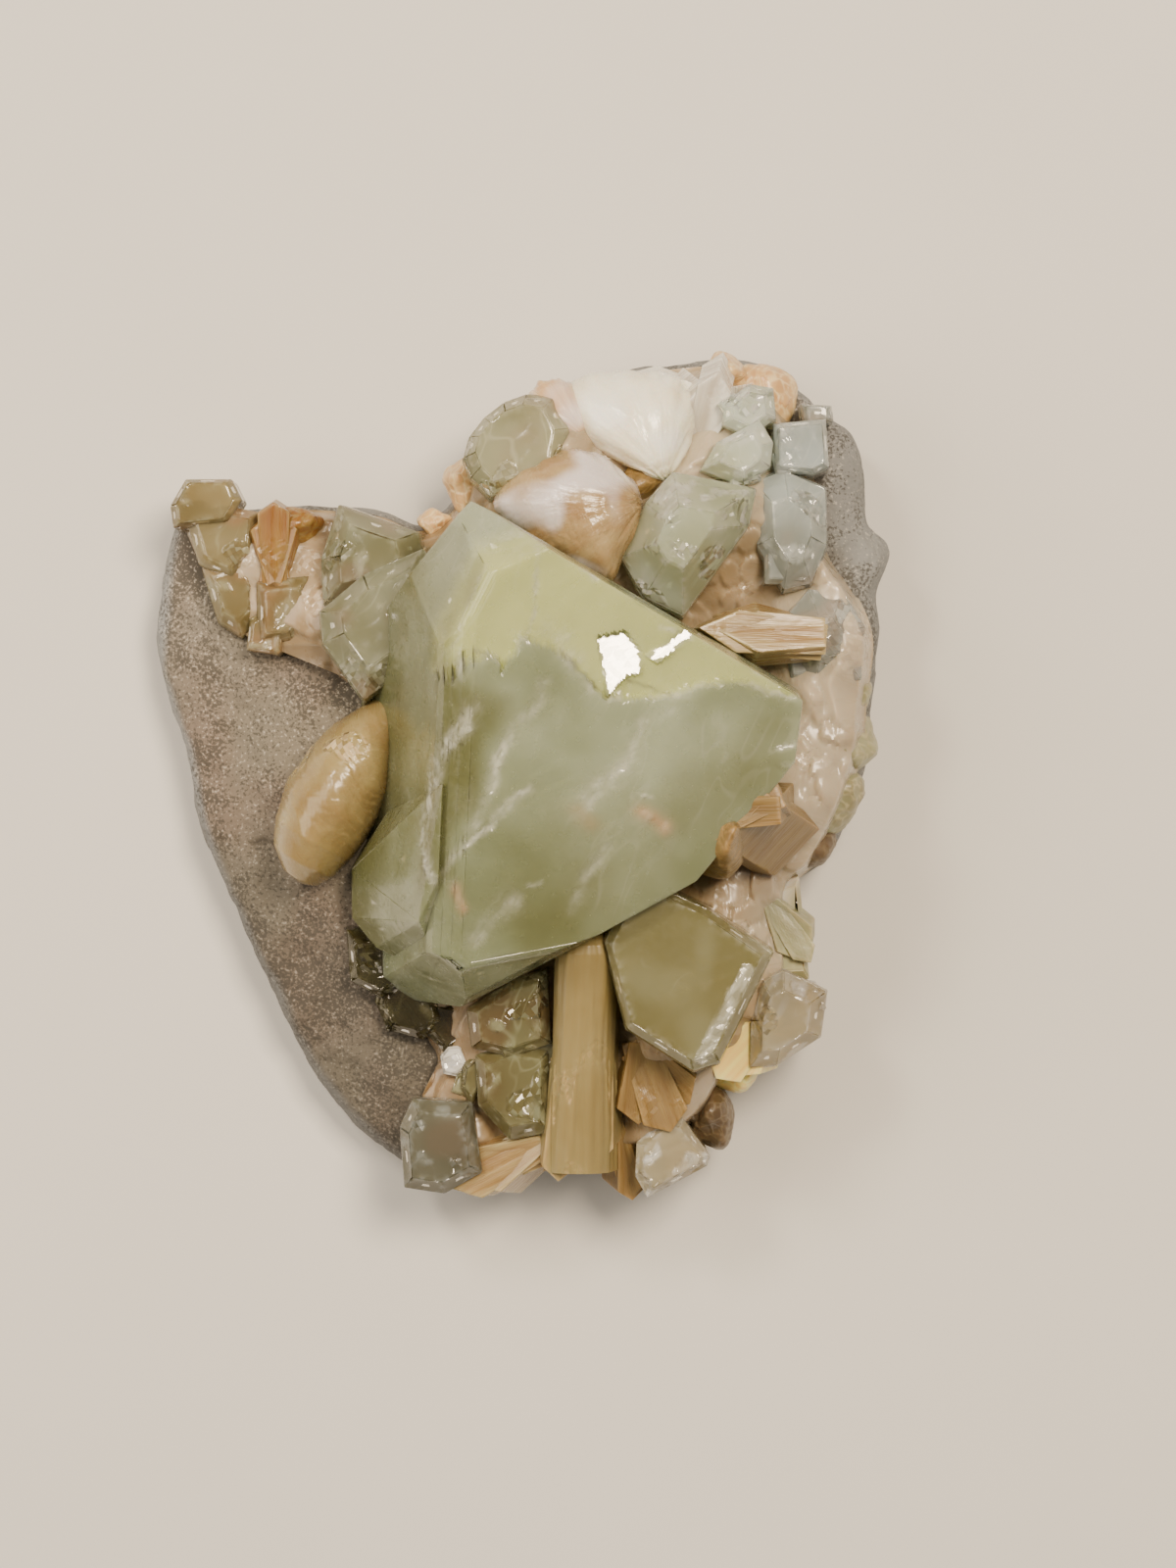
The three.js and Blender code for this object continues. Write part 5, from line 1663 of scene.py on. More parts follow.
@dataclass
class LargeApophyllite:
    """The main crystal: flat faces through named corners, a chipped foot, a broken ledge."""

    heart: Point = (6, 3, 30)
    corners: dict[str, Point] = field(default_factory=lambda: {
        "summit": (-3.1, 23.9, 55.4), "brow": (-8.4, 13.6, 53.5), "crest": (2.1, 28.3, 52.3),
        "shoulder": (32.3, 10.6, 44.1), "keelTop": (-9.8, -12.2, 46.4), "peak": (-5.2, 34.4, 41.9),
        "leftPeak": (-11, 27.7, 41), "leftFlank": (-14.4, 3.9, 33.8), "chipTop": (-12.6, -18.2, 44.4),
        "chipLeft": (-23.4, -16.8, 24.8), "chipRight": (-18.6, -22.6, 26.6), "footTop": (-7, -23.7, 42.4),
        "footLeft": (-7.5, -29, 28.4), "footRight": (-4.4, -29.2, 28.4), "toeTop": (3.7, -22, 40.1),
        "toe": (3.6, -23.5, 33.8), "heel": (9.7, -19.6, 40.1), "flank": (21.8, -13.0, 40.1),
        "rightLow": (33.9, 1.6, 41), "rightHigh": (35, 11, 38.3), "rimLeft": (0.2, 30.3, 46.4),
        "rimMiddle": (13.3, 22.5, 41.9)})
    faces: list[str] = field(default_factory=lambda: [
        "summit keelTop shoulder", "summit brow leftPeak", "summit crest peak", "crest shoulder rimMiddle",
        "brow keelTop leftFlank", "chipTop chipLeft chipRight", "footTop footLeft chipRight",
        "footTop toeTop footRight", "toeTop heel toe", "heel flank -heel", "flank rightLow -flank",
        "rightLow rightHigh -rightLow", "rimLeft rightHigh -rimLeft", "peak leftPeak -peak",
        "footLeft footRight -footLeft"])
    foot: list[Point] = field(default_factory=lambda: [
        (-16.8, -2, SEAT), (-22.2, -11.6, SEAT), (-22.2, -18.4, SEAT), (-18.8, -22.6, SEAT),
        (-9, -27, SEAT), (-6, -4, SEAT), (-9.1, -1, 48.9), (-9.7, -12.4, 46.1), (-12.2, -17.8, 43.4),
        (-16.8, -4.6, 27), (-21.5, -11.8, 22.4), (-21.5, -18, 22), (-18.3, -21.7, 24.6), (-9.6, -25.6, 30)])
    ledge: list[Plan] = field(default_factory=lambda: [
        (-10.5, 12.5), (-8.2, 11.6), (-6.5, 14.2), (-3, 14.4), (-1.8, 12.4), (0, 16.4), (3, 15.9),
        (6.5, 14.1), (8.8, 11.2), (11.2, 9.2), (18.6, 9.8), (25, 11.5), (36, 9), (40, 40), (-20, 40),
        (-20, 14)])
    mirrors: list[tuple[list[Plan], float]] = field(default_factory=lambda: [
        ([(9.9, 16.3), (13.3, 17.1), (15.2, 14.7), (15.1, 12.1), (13.4, 11.8), (10.9, 9.5)], 1.1),
        ([(20.6, 17.6), (21.6, 16.6), (17.2, 13.4), (15.7, 14.2)], 0.9)])
    gleam: Point = (0.1255, 0.1224, 0.9845)
    strokes: list[Stroke] = field(default_factory=lambda: [
        Stroke([(-5.1, 8.0), (-6.5, 5.8), (-8.6, 3.7), (-9.9, 1.6), (-10.3, -0.5), (-11.0, -2.7)], 1.02, 0.68,
               0.12),
        Stroke([(-10.6, -1.6), (-11.2, -4.0), (-11.6, -7.6), (-11.3, -10.5), (-10.2, -13.0)], 0.53, 1.0, 0.2),
        Stroke([(3.3, 11.2), (2.8, 8.9), (0.9, 7.0), (-1.6, 3.7)], 0.85, 0.34, 0.1),
        Stroke([(-1.6, 3.7), (-2.6, 0.9), (-3.4, -1.9), (-4.5, -4.4), (-5.9, -6.9)], 0.68, 0.74, 0.16),
        Stroke([(-5.9, -6.9), (-7.7, -9.4), (-9.1, -11.6), (-10.2, -14.3), (-11.0, -17.7)], 0.42, 0.47, 0.18),
        Stroke([(1.5, -1.7), (-0.5, -3.0), (-2.0, -4.4), (-3.4, -6.1)], 0.51, 1.0, 0.14),
        Stroke([(-3.4, -6.1), (-5.3, -7.9), (-7.0, -9.2)], 0.34, 0.81, 0.08),
        Stroke([(18.4, 8.1), (15.5, 6.6), (14.1, 3.8), (13.7, 1.6)], 0.77, 0.47, 0.1),
        Stroke([(13.7, 1.6), (12.0, -0.2), (9.5, -1.6), (8.5, -2.9)], 1.1, 0.61, 0.12),
        Stroke([(3.8, 17.4), (5.6, 16.0), (7.6, 13.0), (9.0, 10.8)], 1.27, 0.47, 0.04),
        Stroke([(2.6, 27.4), (2.5, 22.4), (2.5, 19.2), (1.8, 17.8), (1.0, 16.1)], 0.26, 0.61, 0.12, 0.16),
        Stroke([(8.3, 25.6), (3.8, 28.2), (2.5, 27.2)], 0.21, 0.81, 0.08),
        Stroke([(-3.5, 25.1), (-5.7, 19.9), (-7.8, 14.3), (-8.9, 12.5)], 0.26, 0.41, 0.1, 0.12),
        Stroke([(5.5, 14.6), (7.0, 13.3), (8.4, 11.5), (9.8, 10.5), (10.9, 9.3)], 0.26, 0.0, 0.08, 0.6),
        Stroke([(-7.1, 14.3), (-5.4, 14.9), (-3.3, 14.3)], 0.26, 0.41, 0.04, 0.32),
        Stroke([(13.4, 11.2), (16.1, 10.6), (18.7, 9.8)], 0.17, 0.14, 0.06, 0.52),
        Stroke([(21.2, 20.2), (23.9, 17.8), (26.9, 15.0), (29.4, 13.1), (32.0, 11.3)], 0.59, 0.94, 0.1),
        Stroke([(17.4, 17.6), (19.8, 17.1), (21.1, 16.3)], 0.34, 1.0, 0.08),
        Stroke([(35.0, 4.2), (33.5, 3.8), (31.8, 3.3)], 0.3, 1.0, 0.2),
        Stroke([(35.0, 2.4), (34.0, 1.6), (32.5, 1.4)], 0.3, 1.0, 0.2),
        Stroke([(34.9, 0.7), (33.3, 0.6), (31.6, 1.0)], 0.68, 0.0, 0.28, 0.48),
        Stroke([(8.2, 24.8), (8.9, 24.2), (9.6, 23.2)], 0.34, 1.0, 0.08),
        Stroke([(15.2, -2.5), (16.2, -2.7)], 0.3, 1.0, -0.15),
        Stroke([(1.4, -13.4), (2.6, -13.0)], 0.26, 1.0, -0.15),
        Stroke([(14.9, -4.3), (16.6, -5.2), (17.9, -6.2)], 0.94, 0.2, -0.25, 0.0, 0.54),
        Stroke([(7.2, -4.2), (9.0, -5.8)], 1.02, 0.0, -0.05, 0.0, 0.21),
        Stroke([(-7.6, -13.6), (-6.9, -16.2)], 0.64, 0.14, -0.2, 0.0, 0.54),
        Stroke([(-5.6, -19.9), (-3.5, -17.8), (-0.6, -15.2)], 1.19, 0.41, 0.08),
        Stroke([(-17.5, -12.6), (-18.8, -16.0), (-17.6, -19.4)], 0.68, 0.54, 0.08),
        Stroke([(10.9, -8.8), (8.3, -12.4), (6.7, -16.6)], 0.68, 0.27, 0.16)])
    # x, y, reach and strength of each darker or paler spot; the last one is paler where the tip's lower
    # facets face away from the light: painted light
    tones: list[tuple[float, float, float, float]] = field(default_factory=lambda: [
        (15.7, 3.8, 5.0, -0.5), (8.5, 4.5, 6.0, -0.25), (25.2, 8.5, 4.0, -0.3), (27.7, 0.2, 5.0, 0.35),
        (20.5, -5.6, 5.5, 0.35), (8.5, -15.6, 7.0, 0.4), (1.7, -11.6, 6.0, 0.25), (31.3, 6.6, 3.0, 0.3),
        (3.7, -20.2, 4.5, 0.6), (24.0, 15.5, 4.0, 0.45), (-1.0, 8.5, 4.0, -0.3), (-11.0, -16.5, 3.5, 0.35),
        (8.5, -12.9, 4.0, 0.35), (20.4, -1.0, 4.0, 0.3), (27.6, 0.2, 4.0, 0.3), (30.0, 6.1, 3.0, 0.25),
        (-1.0, -13.0, 4.0, 0.15), (-5.5, -24.0, 4.0, -0.5)])
    olive: list[Plan] = field(default_factory=lambda: [
        (-6.6, 31.6), (-4.1, 29.3), (-3.5, 25.1), (-5.7, 19.9), (-7.8, 14.5), (-5.3, 12.0), (-2.4, 8.9),
        (-3.6, 3.5), (-3.6, -1.9), (-5.8, -6.7), (-8.4, -10.8), (-10.6, -14.3), (-11.8, -18.9),
        (-15.4, -23.1), (-26, -20), (-26, 10.7), (-20.5, 32.3)])

    # numbers of two faces and the radius of the edge between them
    rounded: list[tuple[int, int, float]] = field(default_factory=lambda: [
        (0, 4, 4.5), (0, 1, 1.5), (0, 5, 3.0), (0, 6, 2.4), (0, 7, 1.5)])

    def eased(self, normals: list[Array], offsets: list[float]) -> tuple[list[Array], list[float]]:
        """The planes with four more at each rounded edge, touching a circle drawn between its faces.

        The circle of radius R lies R / cos(A / 2) inside the edge, A being the angle between the
        normals; a plane that touches it has the offset n . centre + R.

        Args:
            normals: outward normals of the faces.
            offsets: their offsets.

        Returns:
            The longer lists.
        """
        more, away = list(normals), list(offsets)
        for first, second, radius in self.rounded:
            a, b = normals[first], normals[second]
            half = math.acos(float(a @ b)) / 2
            middle = (a + b) / np.linalg.norm(a + b)
            pair = np.array([offsets[first], offsets[second]])
            spot, *_ = np.linalg.lstsq(np.stack([a, b]), pair, rcond=None)
            centre = spot - middle * radius / math.cos(half)
            for share in (0.2, 0.4, 0.6, 0.8):
                turn = 2 * half * share
                normal = (a * math.sin(2 * half - turn) + b * math.sin(turn)) / math.sin(2 * half)
                more.append(normal)
                away.append(float(normal @ centre) + radius)
        return more, away

    def planes(self) -> tuple[Array, Array]:
        """Outward normals and offsets of the faces, each through three named corners.

        A name with a minus sign stands for the place at the seat under that corner.

        Returns:
            The normals and the offsets.
        """
        heart = np.array(self.heart, float)
        normals: list[Array] = []
        offsets: list[float] = []
        for trio in self.faces:
            spots = []
            for name in trio.split():
                corner = np.array(self.corners[name.lstrip("-")], float)
                spots.append(np.array([corner[0], corner[1], SEAT]) if name.startswith("-") else corner)
            normal = np.cross(spots[1] - spots[0], spots[2] - spots[0])
            normal /= np.linalg.norm(normal)
            if normal @ (heart - spots[0]) > 0:
                normal = -normal
            normals.append(normal)
            offsets.append(float(normal @ spots[0]))
        normals, offsets = self.eased(normals, offsets)
        normals.append(np.array([0.0, 0.0, -1.0]))
        offsets.append(-SEAT)
        return np.array(normals), np.array(offsets)

    def worn(self, skin: Skin, normal: Array, offset: float) -> Skin:
        """The crystal with its broken ledge, feathers, mirror facets and their marks.

        Points sink along the top face's normal: by the ledge drop inside the ledge outline, and by a
        stroke's cut that falls off over its width; both fade with depth below.

        Args:
            skin: the plain faceted surface.
            normal: normal of the top face.
            offset: offset of the top face.

        Returns:
            The worn surface.
        """
        p = skin.points
        below = offset - p @ normal
        top = 1 - ease(below, 2.0, 9.0)
        waver = np.stack([noise(p, 1.3, 21.0, 2), noise(p, 1.3, 22.0, 2), np.zeros(len(p))], axis=-1)
        inside = depth_inside(p + 0.9 * waver, self.ledge)
        ledge = ease(inside, -0.25, 0.25)
        sink = LEDGE_DROP * ledge
        white = 0.6 * np.exp(-np.abs(inside) / 0.25) * ease(noise(p, 2.4, 23.0), -0.2, 0.4)
        ink = np.zeros(len(p))
        peach = np.zeros(len(p))
        broken = 0.3 + 0.7 * ease(noise(p, 1.7, 24.0, 2), -0.25, 0.3)
        for stroke in self.strokes:
            line = np.array(stroke.line)
            reach = 3.0 * stroke.width + 1.0
            here = ((p[:, :2] > line.min(0) - reach) & (p[:, :2] < line.max(0) + reach)).all(axis=1)
            here &= below < 9.0
            gap, _ = along_line(p[here] + 0.4 * waver[here], stroke.line)
            band = np.exp(-(gap / stroke.width) ** 2)
            sink[here] += stroke.cut * band * broken[here]
            white[here] = np.maximum(white[here], stroke.silver * band * broken[here])
            ink[here] = np.maximum(ink[here], stroke.ink * np.exp(-(gap / 0.22) ** 2) * broken[here])
            peach[here] = np.maximum(peach[here], stroke.peach * band)
        facet = np.zeros(len(p))
        facing = np.array(self.gleam) / np.linalg.norm(self.gleam)
        for outline, depth in self.mirrors:
            here = ease(depth_inside(p, outline), -0.12, 0.12)
            middle = np.array(outline).mean(0)
            low = (offset - depth - normal[:2] @ middle) / normal[2]
            plane = facing[:2] @ middle + facing[2] * low
            sink = sink * (1 - here) + here * (p @ facing - plane) / (normal @ facing)
            facet = np.maximum(facet, here)
        # the mirror facets are painted partly white: a painted reflection beside their real gloss
        white = np.maximum(white * (1 - facet), 0.25 * facet)
        # near the summit, small tilted cells with painted glints
        sparkle = ease(noise(p, 6.0, 31.0), -0.2, 0.4) * ease(p[:, 1], 22.0, 28.0) * (p[:, 0] < 2)
        _, _, value = cells(p, 1.8, 33.0)
        sink = sink + 0.5 * sparkle * (value - 0.5)
        white = np.maximum(white, 0.6 * sparkle * ease(noise(p, 1.6, 34.0), -0.3, 0.3))
        moved = p - normal * (sink * top)[:, None]
        grain = np.stack([ink * top, peach * top, skin.grain[:, 2]], axis=-1)
        mark = np.stack([white * top, facet * top, ledge * top, self.tone(p, below)], axis=-1)
        return Skin(moved, skin.quads, skin.triangles, grain, mark)

    def tone(self, p: Array, below: Array) -> Array:
        """Share of the olive tone: the olive band, darker and paler spots and the depth under the top.

        Args:
            p: places.
            below: depth of each under the top face.

        Returns:
            A value from 0 to 1.
        """
        drift = np.stack([noise(p, 5.0, 35.0, 2), noise(p, 5.0, 36.0, 2), np.zeros(len(p))], axis=-1)
        wander = p + 2.2 * drift
        band = ease(depth_inside(wander, self.olive), -3.0, 3.0)
        # paler just under the top face, where the steep flank turns from the light: painted light; darker
        # again lower down
        band = band * (0.85 - 0.45 * ease(below, 1.5, 6.0) + 0.4 * ease(below, 11.0, 21.0))
        spots = sum(amount * np.exp(-((wander[:, 0] - x) ** 2 + (wander[:, 1] - y) ** 2) / spread ** 2)
                    for x, y, spread, amount in self.tones)
        shade = 0.12 + 0.2 * ease(2.0 * p[:, 0] / 3.0 - p[:, 1], -4.0, 22.0) * (p[:, 1] < 14) + 0.5 * spots
        mottle = 0.2 * noise(p, 4.5, 37.0, 3)
        clean = 1 - 0.75 * ease(depth_inside(wander, self.ledge), 0.0, 1.0) * (band < 0.3)
        return np.clip(np.maximum(band, shade) * clean + mottle, 0.0, 1.0)

    def build(self) -> None:
        """Makes the crystal from its planes and its foot."""
        normals, offsets = self.planes()
        relief = Relief(seed=1.0, spacing=0.47, chip=0.15, wave=0.1, steps=0.08)
        body = faceted(meeting_points(normals, offsets), relief)
        body = self.worn(body, normals[0], offsets[0])
        foot = faceted(np.array(self.foot, float), Relief(seed=2.0, spacing=0.6, chip=0.15, wave=0.08))
        foot = self.worn(foot, normals[0], offsets[0])
        foot.mark[:, 3] = np.maximum(foot.mark[:, 3], 0.8 * ease(foot.points[:, 2], 38.0, 22.0))
        add_piece("large_green_crystal", [body], Finish.GREEN, "large_apophyllite", 28.0)
        add_piece("foot_of_the_large_crystal", [foot], Finish.GREEN, "large_apophyllite", 16.0)


# ---- groups of crystals ------------------------------------------------------------------


@dataclass
class Group:
    """Crystals that stand for one CAD node, with one finish and one kind of relief."""

    name: str
    node: str
    finish: Finish
    forms: list
    relief: Relief
    sharp: float = 42.0

    def build(self) -> None:
        """Makes the piece from its forms, each with its own seed."""
        skins: list[Skin] = []
        for number, form in enumerate(self.forms):
            skins += form.skins(replace(self.relief, seed=self.relief.seed + 13.0 * number))
        add_piece(self.name, skins, self.finish, self.node, self.sharp)


class Family:
    """All the groups of one mineral."""

    def groups(self) -> list[Group]:
        """The groups, none unless a kind of family gives them."""
        return []

    def build(self) -> None:
        """Makes each group."""
        for group in self.groups():
            group.build()


class Apophyllites(Family):
    """All the smaller apophyllites: blocky crystals given by outline, heights and slope."""

    @staticmethod
    def relief(seed: float, spacing: float = 0.6) -> Relief:
        """Wear of a small clear crystal."""
        return Relief(seed, spacing, 0.2, 0.16, 0.14)

    def groups(self) -> list[Group]:
        """The groups from the block beside the main crystal to the ones at the lower end.

        Returns:
            The groups, in the order in which they are made.
        """
        return [
            Group("olive_block_crystal", "block_apophyllite", Finish.BLOCK, [Block(
                [(16.5, -13.2), (23.4, -16.3), (31.7, -22), (24.9, -36), (21.6, -37), (13.2, -31.6),
                 (10.3, -20.5), (13.6, -14)],
                [(36.5, 0.87), (35, 0.97), (33, 1), (SEAT, 1.06)], (-0.05, 0.04), 0, 0.0,
                [(28.3, -24.1), (22.6, -35.0)])], Relief(40, 0.5, 0.15, 0.08, 0.05), 30.0),
            Group("upper_pale_crystals", "upper_apophyllites", Finish.FRESH, [
                Block([(19.2, 38.4), (29.8, 36.2), (28.9, 31.5), (20.5, 20), (15.5, 22.5), (12.5, 27.5),
                       (15.6, 34.4)],
                      [(34, 0.42), (27.5, 0.98), (25, 1), (SEAT, 1.05)], (0.1, 0.12), 0),
                Block([(22.3, 38.3), (24.5, 42), (30.2, 45), (32, 42), (31.6, 38.8), (28, 36.2)],
                      [(31, 0.55), (28.5, 0.95), (SEAT, 1.16)], (-0.08, 0.1)),
                Block([(25.3, 44.2), (25.4, 46.8), (28.7, 49.6), (32, 49), (32.4, 45), (29, 42.6)],
                      [(28, 0.6), (26.5, 0.95), (SEAT, 1.16)], (0.05, 0.1))], self.relief(41)),
            Group("round_pale_crystal", "round_apophyllite", Finish.PALE, [Block(
                [(-7.5, 40.2), (-6.7, 43), (-4.8, 45.5), (-2.2, 47.5), (0.9, 48.6), (4.5, 48), (6.5, 44),
                 (5.5, 38.5), (0, 36), (-4, 35), (-6.5, 37.6)],
                [(27.5, 0.72), (25, 0.95), (22.5, 1), (SEAT, 1.05)], (0.1, -0.05), 1)], self.relief(42)),
            Group("left_pale_crystals", "left_apophyllites", Finish.LEFT, [
                Block([(-25.7, 20.8), (-20, 25.6), (-12, 29), (-9, 24), (-12, 15), (-19.9, 9.2),
                       (-25.3, 16.6)],
                      [(28.5, 0.6), (26, 0.96), (24, 1), (SEAT, 1.1)], (0.12, 0.06), 0),
                Block([(-25.6, 27.5), (-23.2, 34.6), (-18, 32.5), (-12.8, 31), (-12, 27), (-19, 22.8),
                       (-25.4, 21.4)],
                      [(26, 0.55), (22.5, 0.97), (SEAT, 1.1)], (0.02, 0.16), 0)], self.relief(43)),
            Group("corner_clear_crystals", "corner_apophyllites", Finish.CORNER, [
                Block([(-45, 34.6), (-43, 38), (-37.1, 38), (-35.8, 35.4), (-37.6, 32.5), (-44.6, 31.8)],
                      [(19.5, 0.82), (18.2, 1), (9, 1)], (0.05, 0.02)),
                Block([(-43.4, 33.6), (-38, 34.8), (-33.5, 34), (-34, 28), (-37, 25), (-41.5, 27)],
                      [(18.5, 0.7), (17, 0.97), (10, 1)], (0.02, -0.05)),
                Block([(-41.3, 27), (-37, 28.5), (-33.8, 27), (-33.6, 20), (-36, 17.6), (-39.2, 19.6)],
                      [(17.5, 0.6), (16, 0.95), (SEAT, 1.16)], (0.04, 0.08)),
                Block([(-34, 25), (-27, 25.8), (-26.2, 19.6), (-29.4, 17.2), (-34, 16.8)],
                      [(19.8, 0.66), (18.2, 0.97), (SEAT, 1.16)], (0.02, 0.08))], self.relief(44), 75.0),
            Group("right_clear_crystals", "right_apophyllites", Finish.SILVER, [
                Block([(31.8, 44.6), (38.6, 45.2), (39, 39), (37, 38), (32, 38.6)],
                      [(27, 0.8), (25.6, 0.98), (SEAT, 1.16)], (0.06, -0.04)),
                Block([(35.6, 47.4), (39.5, 47.2), (39.8, 45.2), (36, 44.6)],
                      [(22.5, 0.7), (21, 1), (12, 1)]),
                Block([(29.2, 37.5), (33.2, 39), (38.7, 36.6), (38.9, 29), (36.9, 24), (33.2, 23.2),
                       (29.6, 29)],
                      [(27.5, 0.5), (25, 0.94), (23, 1), (SEAT, 1.12)], (0.05, 0.08)),
                Block([(33, 19.8), (36.4, 24), (41, 23.6), (43.8, 19), (43.4, 12), (37, 10.8), (34.6, 14.6)],
                      [(25.5, 0.4), (22.8, 0.95), (21, 1), (SEAT, 1.12)], (0.06, 0.05))], self.relief(45)),
            Group("dark_clear_crystal", "dark_apophyllite", Finish.SMOKY, [Block(
                [(-15.6, -44.6), (-13.9, -40.9), (-6.2, -41.4), (-4.8, -50.6), (-9.8, -53.4), (-15, -52.6)],
                [(22.5, 0.72), (20.6, 0.97), (19, 1), (7, 0.94)], (-0.02, 0.08), 0, 0.4)], self.relief(46)),
            Group("crystals_under_the_foot", "under_apophyllites", Finish.DUSKY, [
                Block([(-22.4, -19.5), (-16, -20), (-13.8, -26.2), (-17.6, -28.6), (-21.9, -26.2)],
                      [(21, 0.7), (19.6, 0.97), (SEAT, 1.16)], (0.02, 0.1)),
                Block([(-18.6, -25.6), (-11, -26), (-9.4, -31.4), (-12.6, -33.8), (-17.2, -32.6),
                       (-18.8, -29)],
                      [(19.6, 0.66), (18.2, 0.97), (SEAT, 1.16)], (0.04, 0.08)),
                Block([(-12, -28), (-6.6, -28.6), (-6.4, -34), (-9.4, -36), (-12.4, -33)],
                      [(18.8, 0.6), (17.4, 0.97), (SEAT, 1.16)], (-0.04, 0.06))], self.relief(47)),
            Group("lower_clear_crystals", "lower_apophyllites", Finish.LOWER, [
                Block([(-7, -29.5), (-1, -25.6), (3.4, -24.4), (4, -34), (-1, -35.8), (-6.4, -34.6)],
                      [(25, 0.72), (23.4, 0.97), (SEAT, 1.16)], (0.03, 0.05)),
                Block([(-6, -35.4), (-1, -33.6), (4, -34.4), (4, -45.5), (-1.5, -46.5), (-5.6, -42)],
                      [(23.5, 0.7), (21.6, 0.97), (10, 1)], (0.02, 0.05)),
                Block([(-7.4, -36.6), (-5.2, -34.6), (-3.6, -38), (-6.4, -42.4), (-8, -40)],
                      [(21, 0.6), (19.6, 0.96), (SEAT, 1.16)], (0.06, 0.04))], self.relief(48)),
            Group("tiny_bright_crystal", "tiny_apophyllite", Finish.BRILLIANT, [Block(
                [(-10.4, -35.8), (-9.4, -34.6), (-7.6, -34.4), (-6.7, -36.6), (-8.2, -38.4), (-10, -38)],
                [(19.5, 0.8), (18.8, 1), (SEAT, 1.1)], (-0.127, -0.124), 0, 0.0)], self.relief(49, 0.3)),
            Group("ribbed_clear_crystal", "striated_apophyllite", Finish.RIBBED, [Block(
                [(14.6, -46.6), (18.4, -43.2), (20.6, -43.4), (24.2, -48.4), (23.8, -49.6), (16, -53.8),
                 (14.4, -51)],
                [(23, 0.74), (21.2, 0.98), (8, 1)], (0.03, 0.02), 0, 1.0)], self.relief(50, 0.45)),
            Group("yellowish_clear_crystal", "yellow_apophyllite", Finish.HONEY, [Block(
                [(30.6, -25.9), (33.3, -24.4), (39, -27.2), (38.2, -33.2), (32.4, -37), (28.9, -37.2),
                 (29, -31)],
                [(25.5, 0.6), (23, 0.96), (21.5, 1), (9, 0.95)], (-0.02, 0.1))], self.relief(51)),
        ]


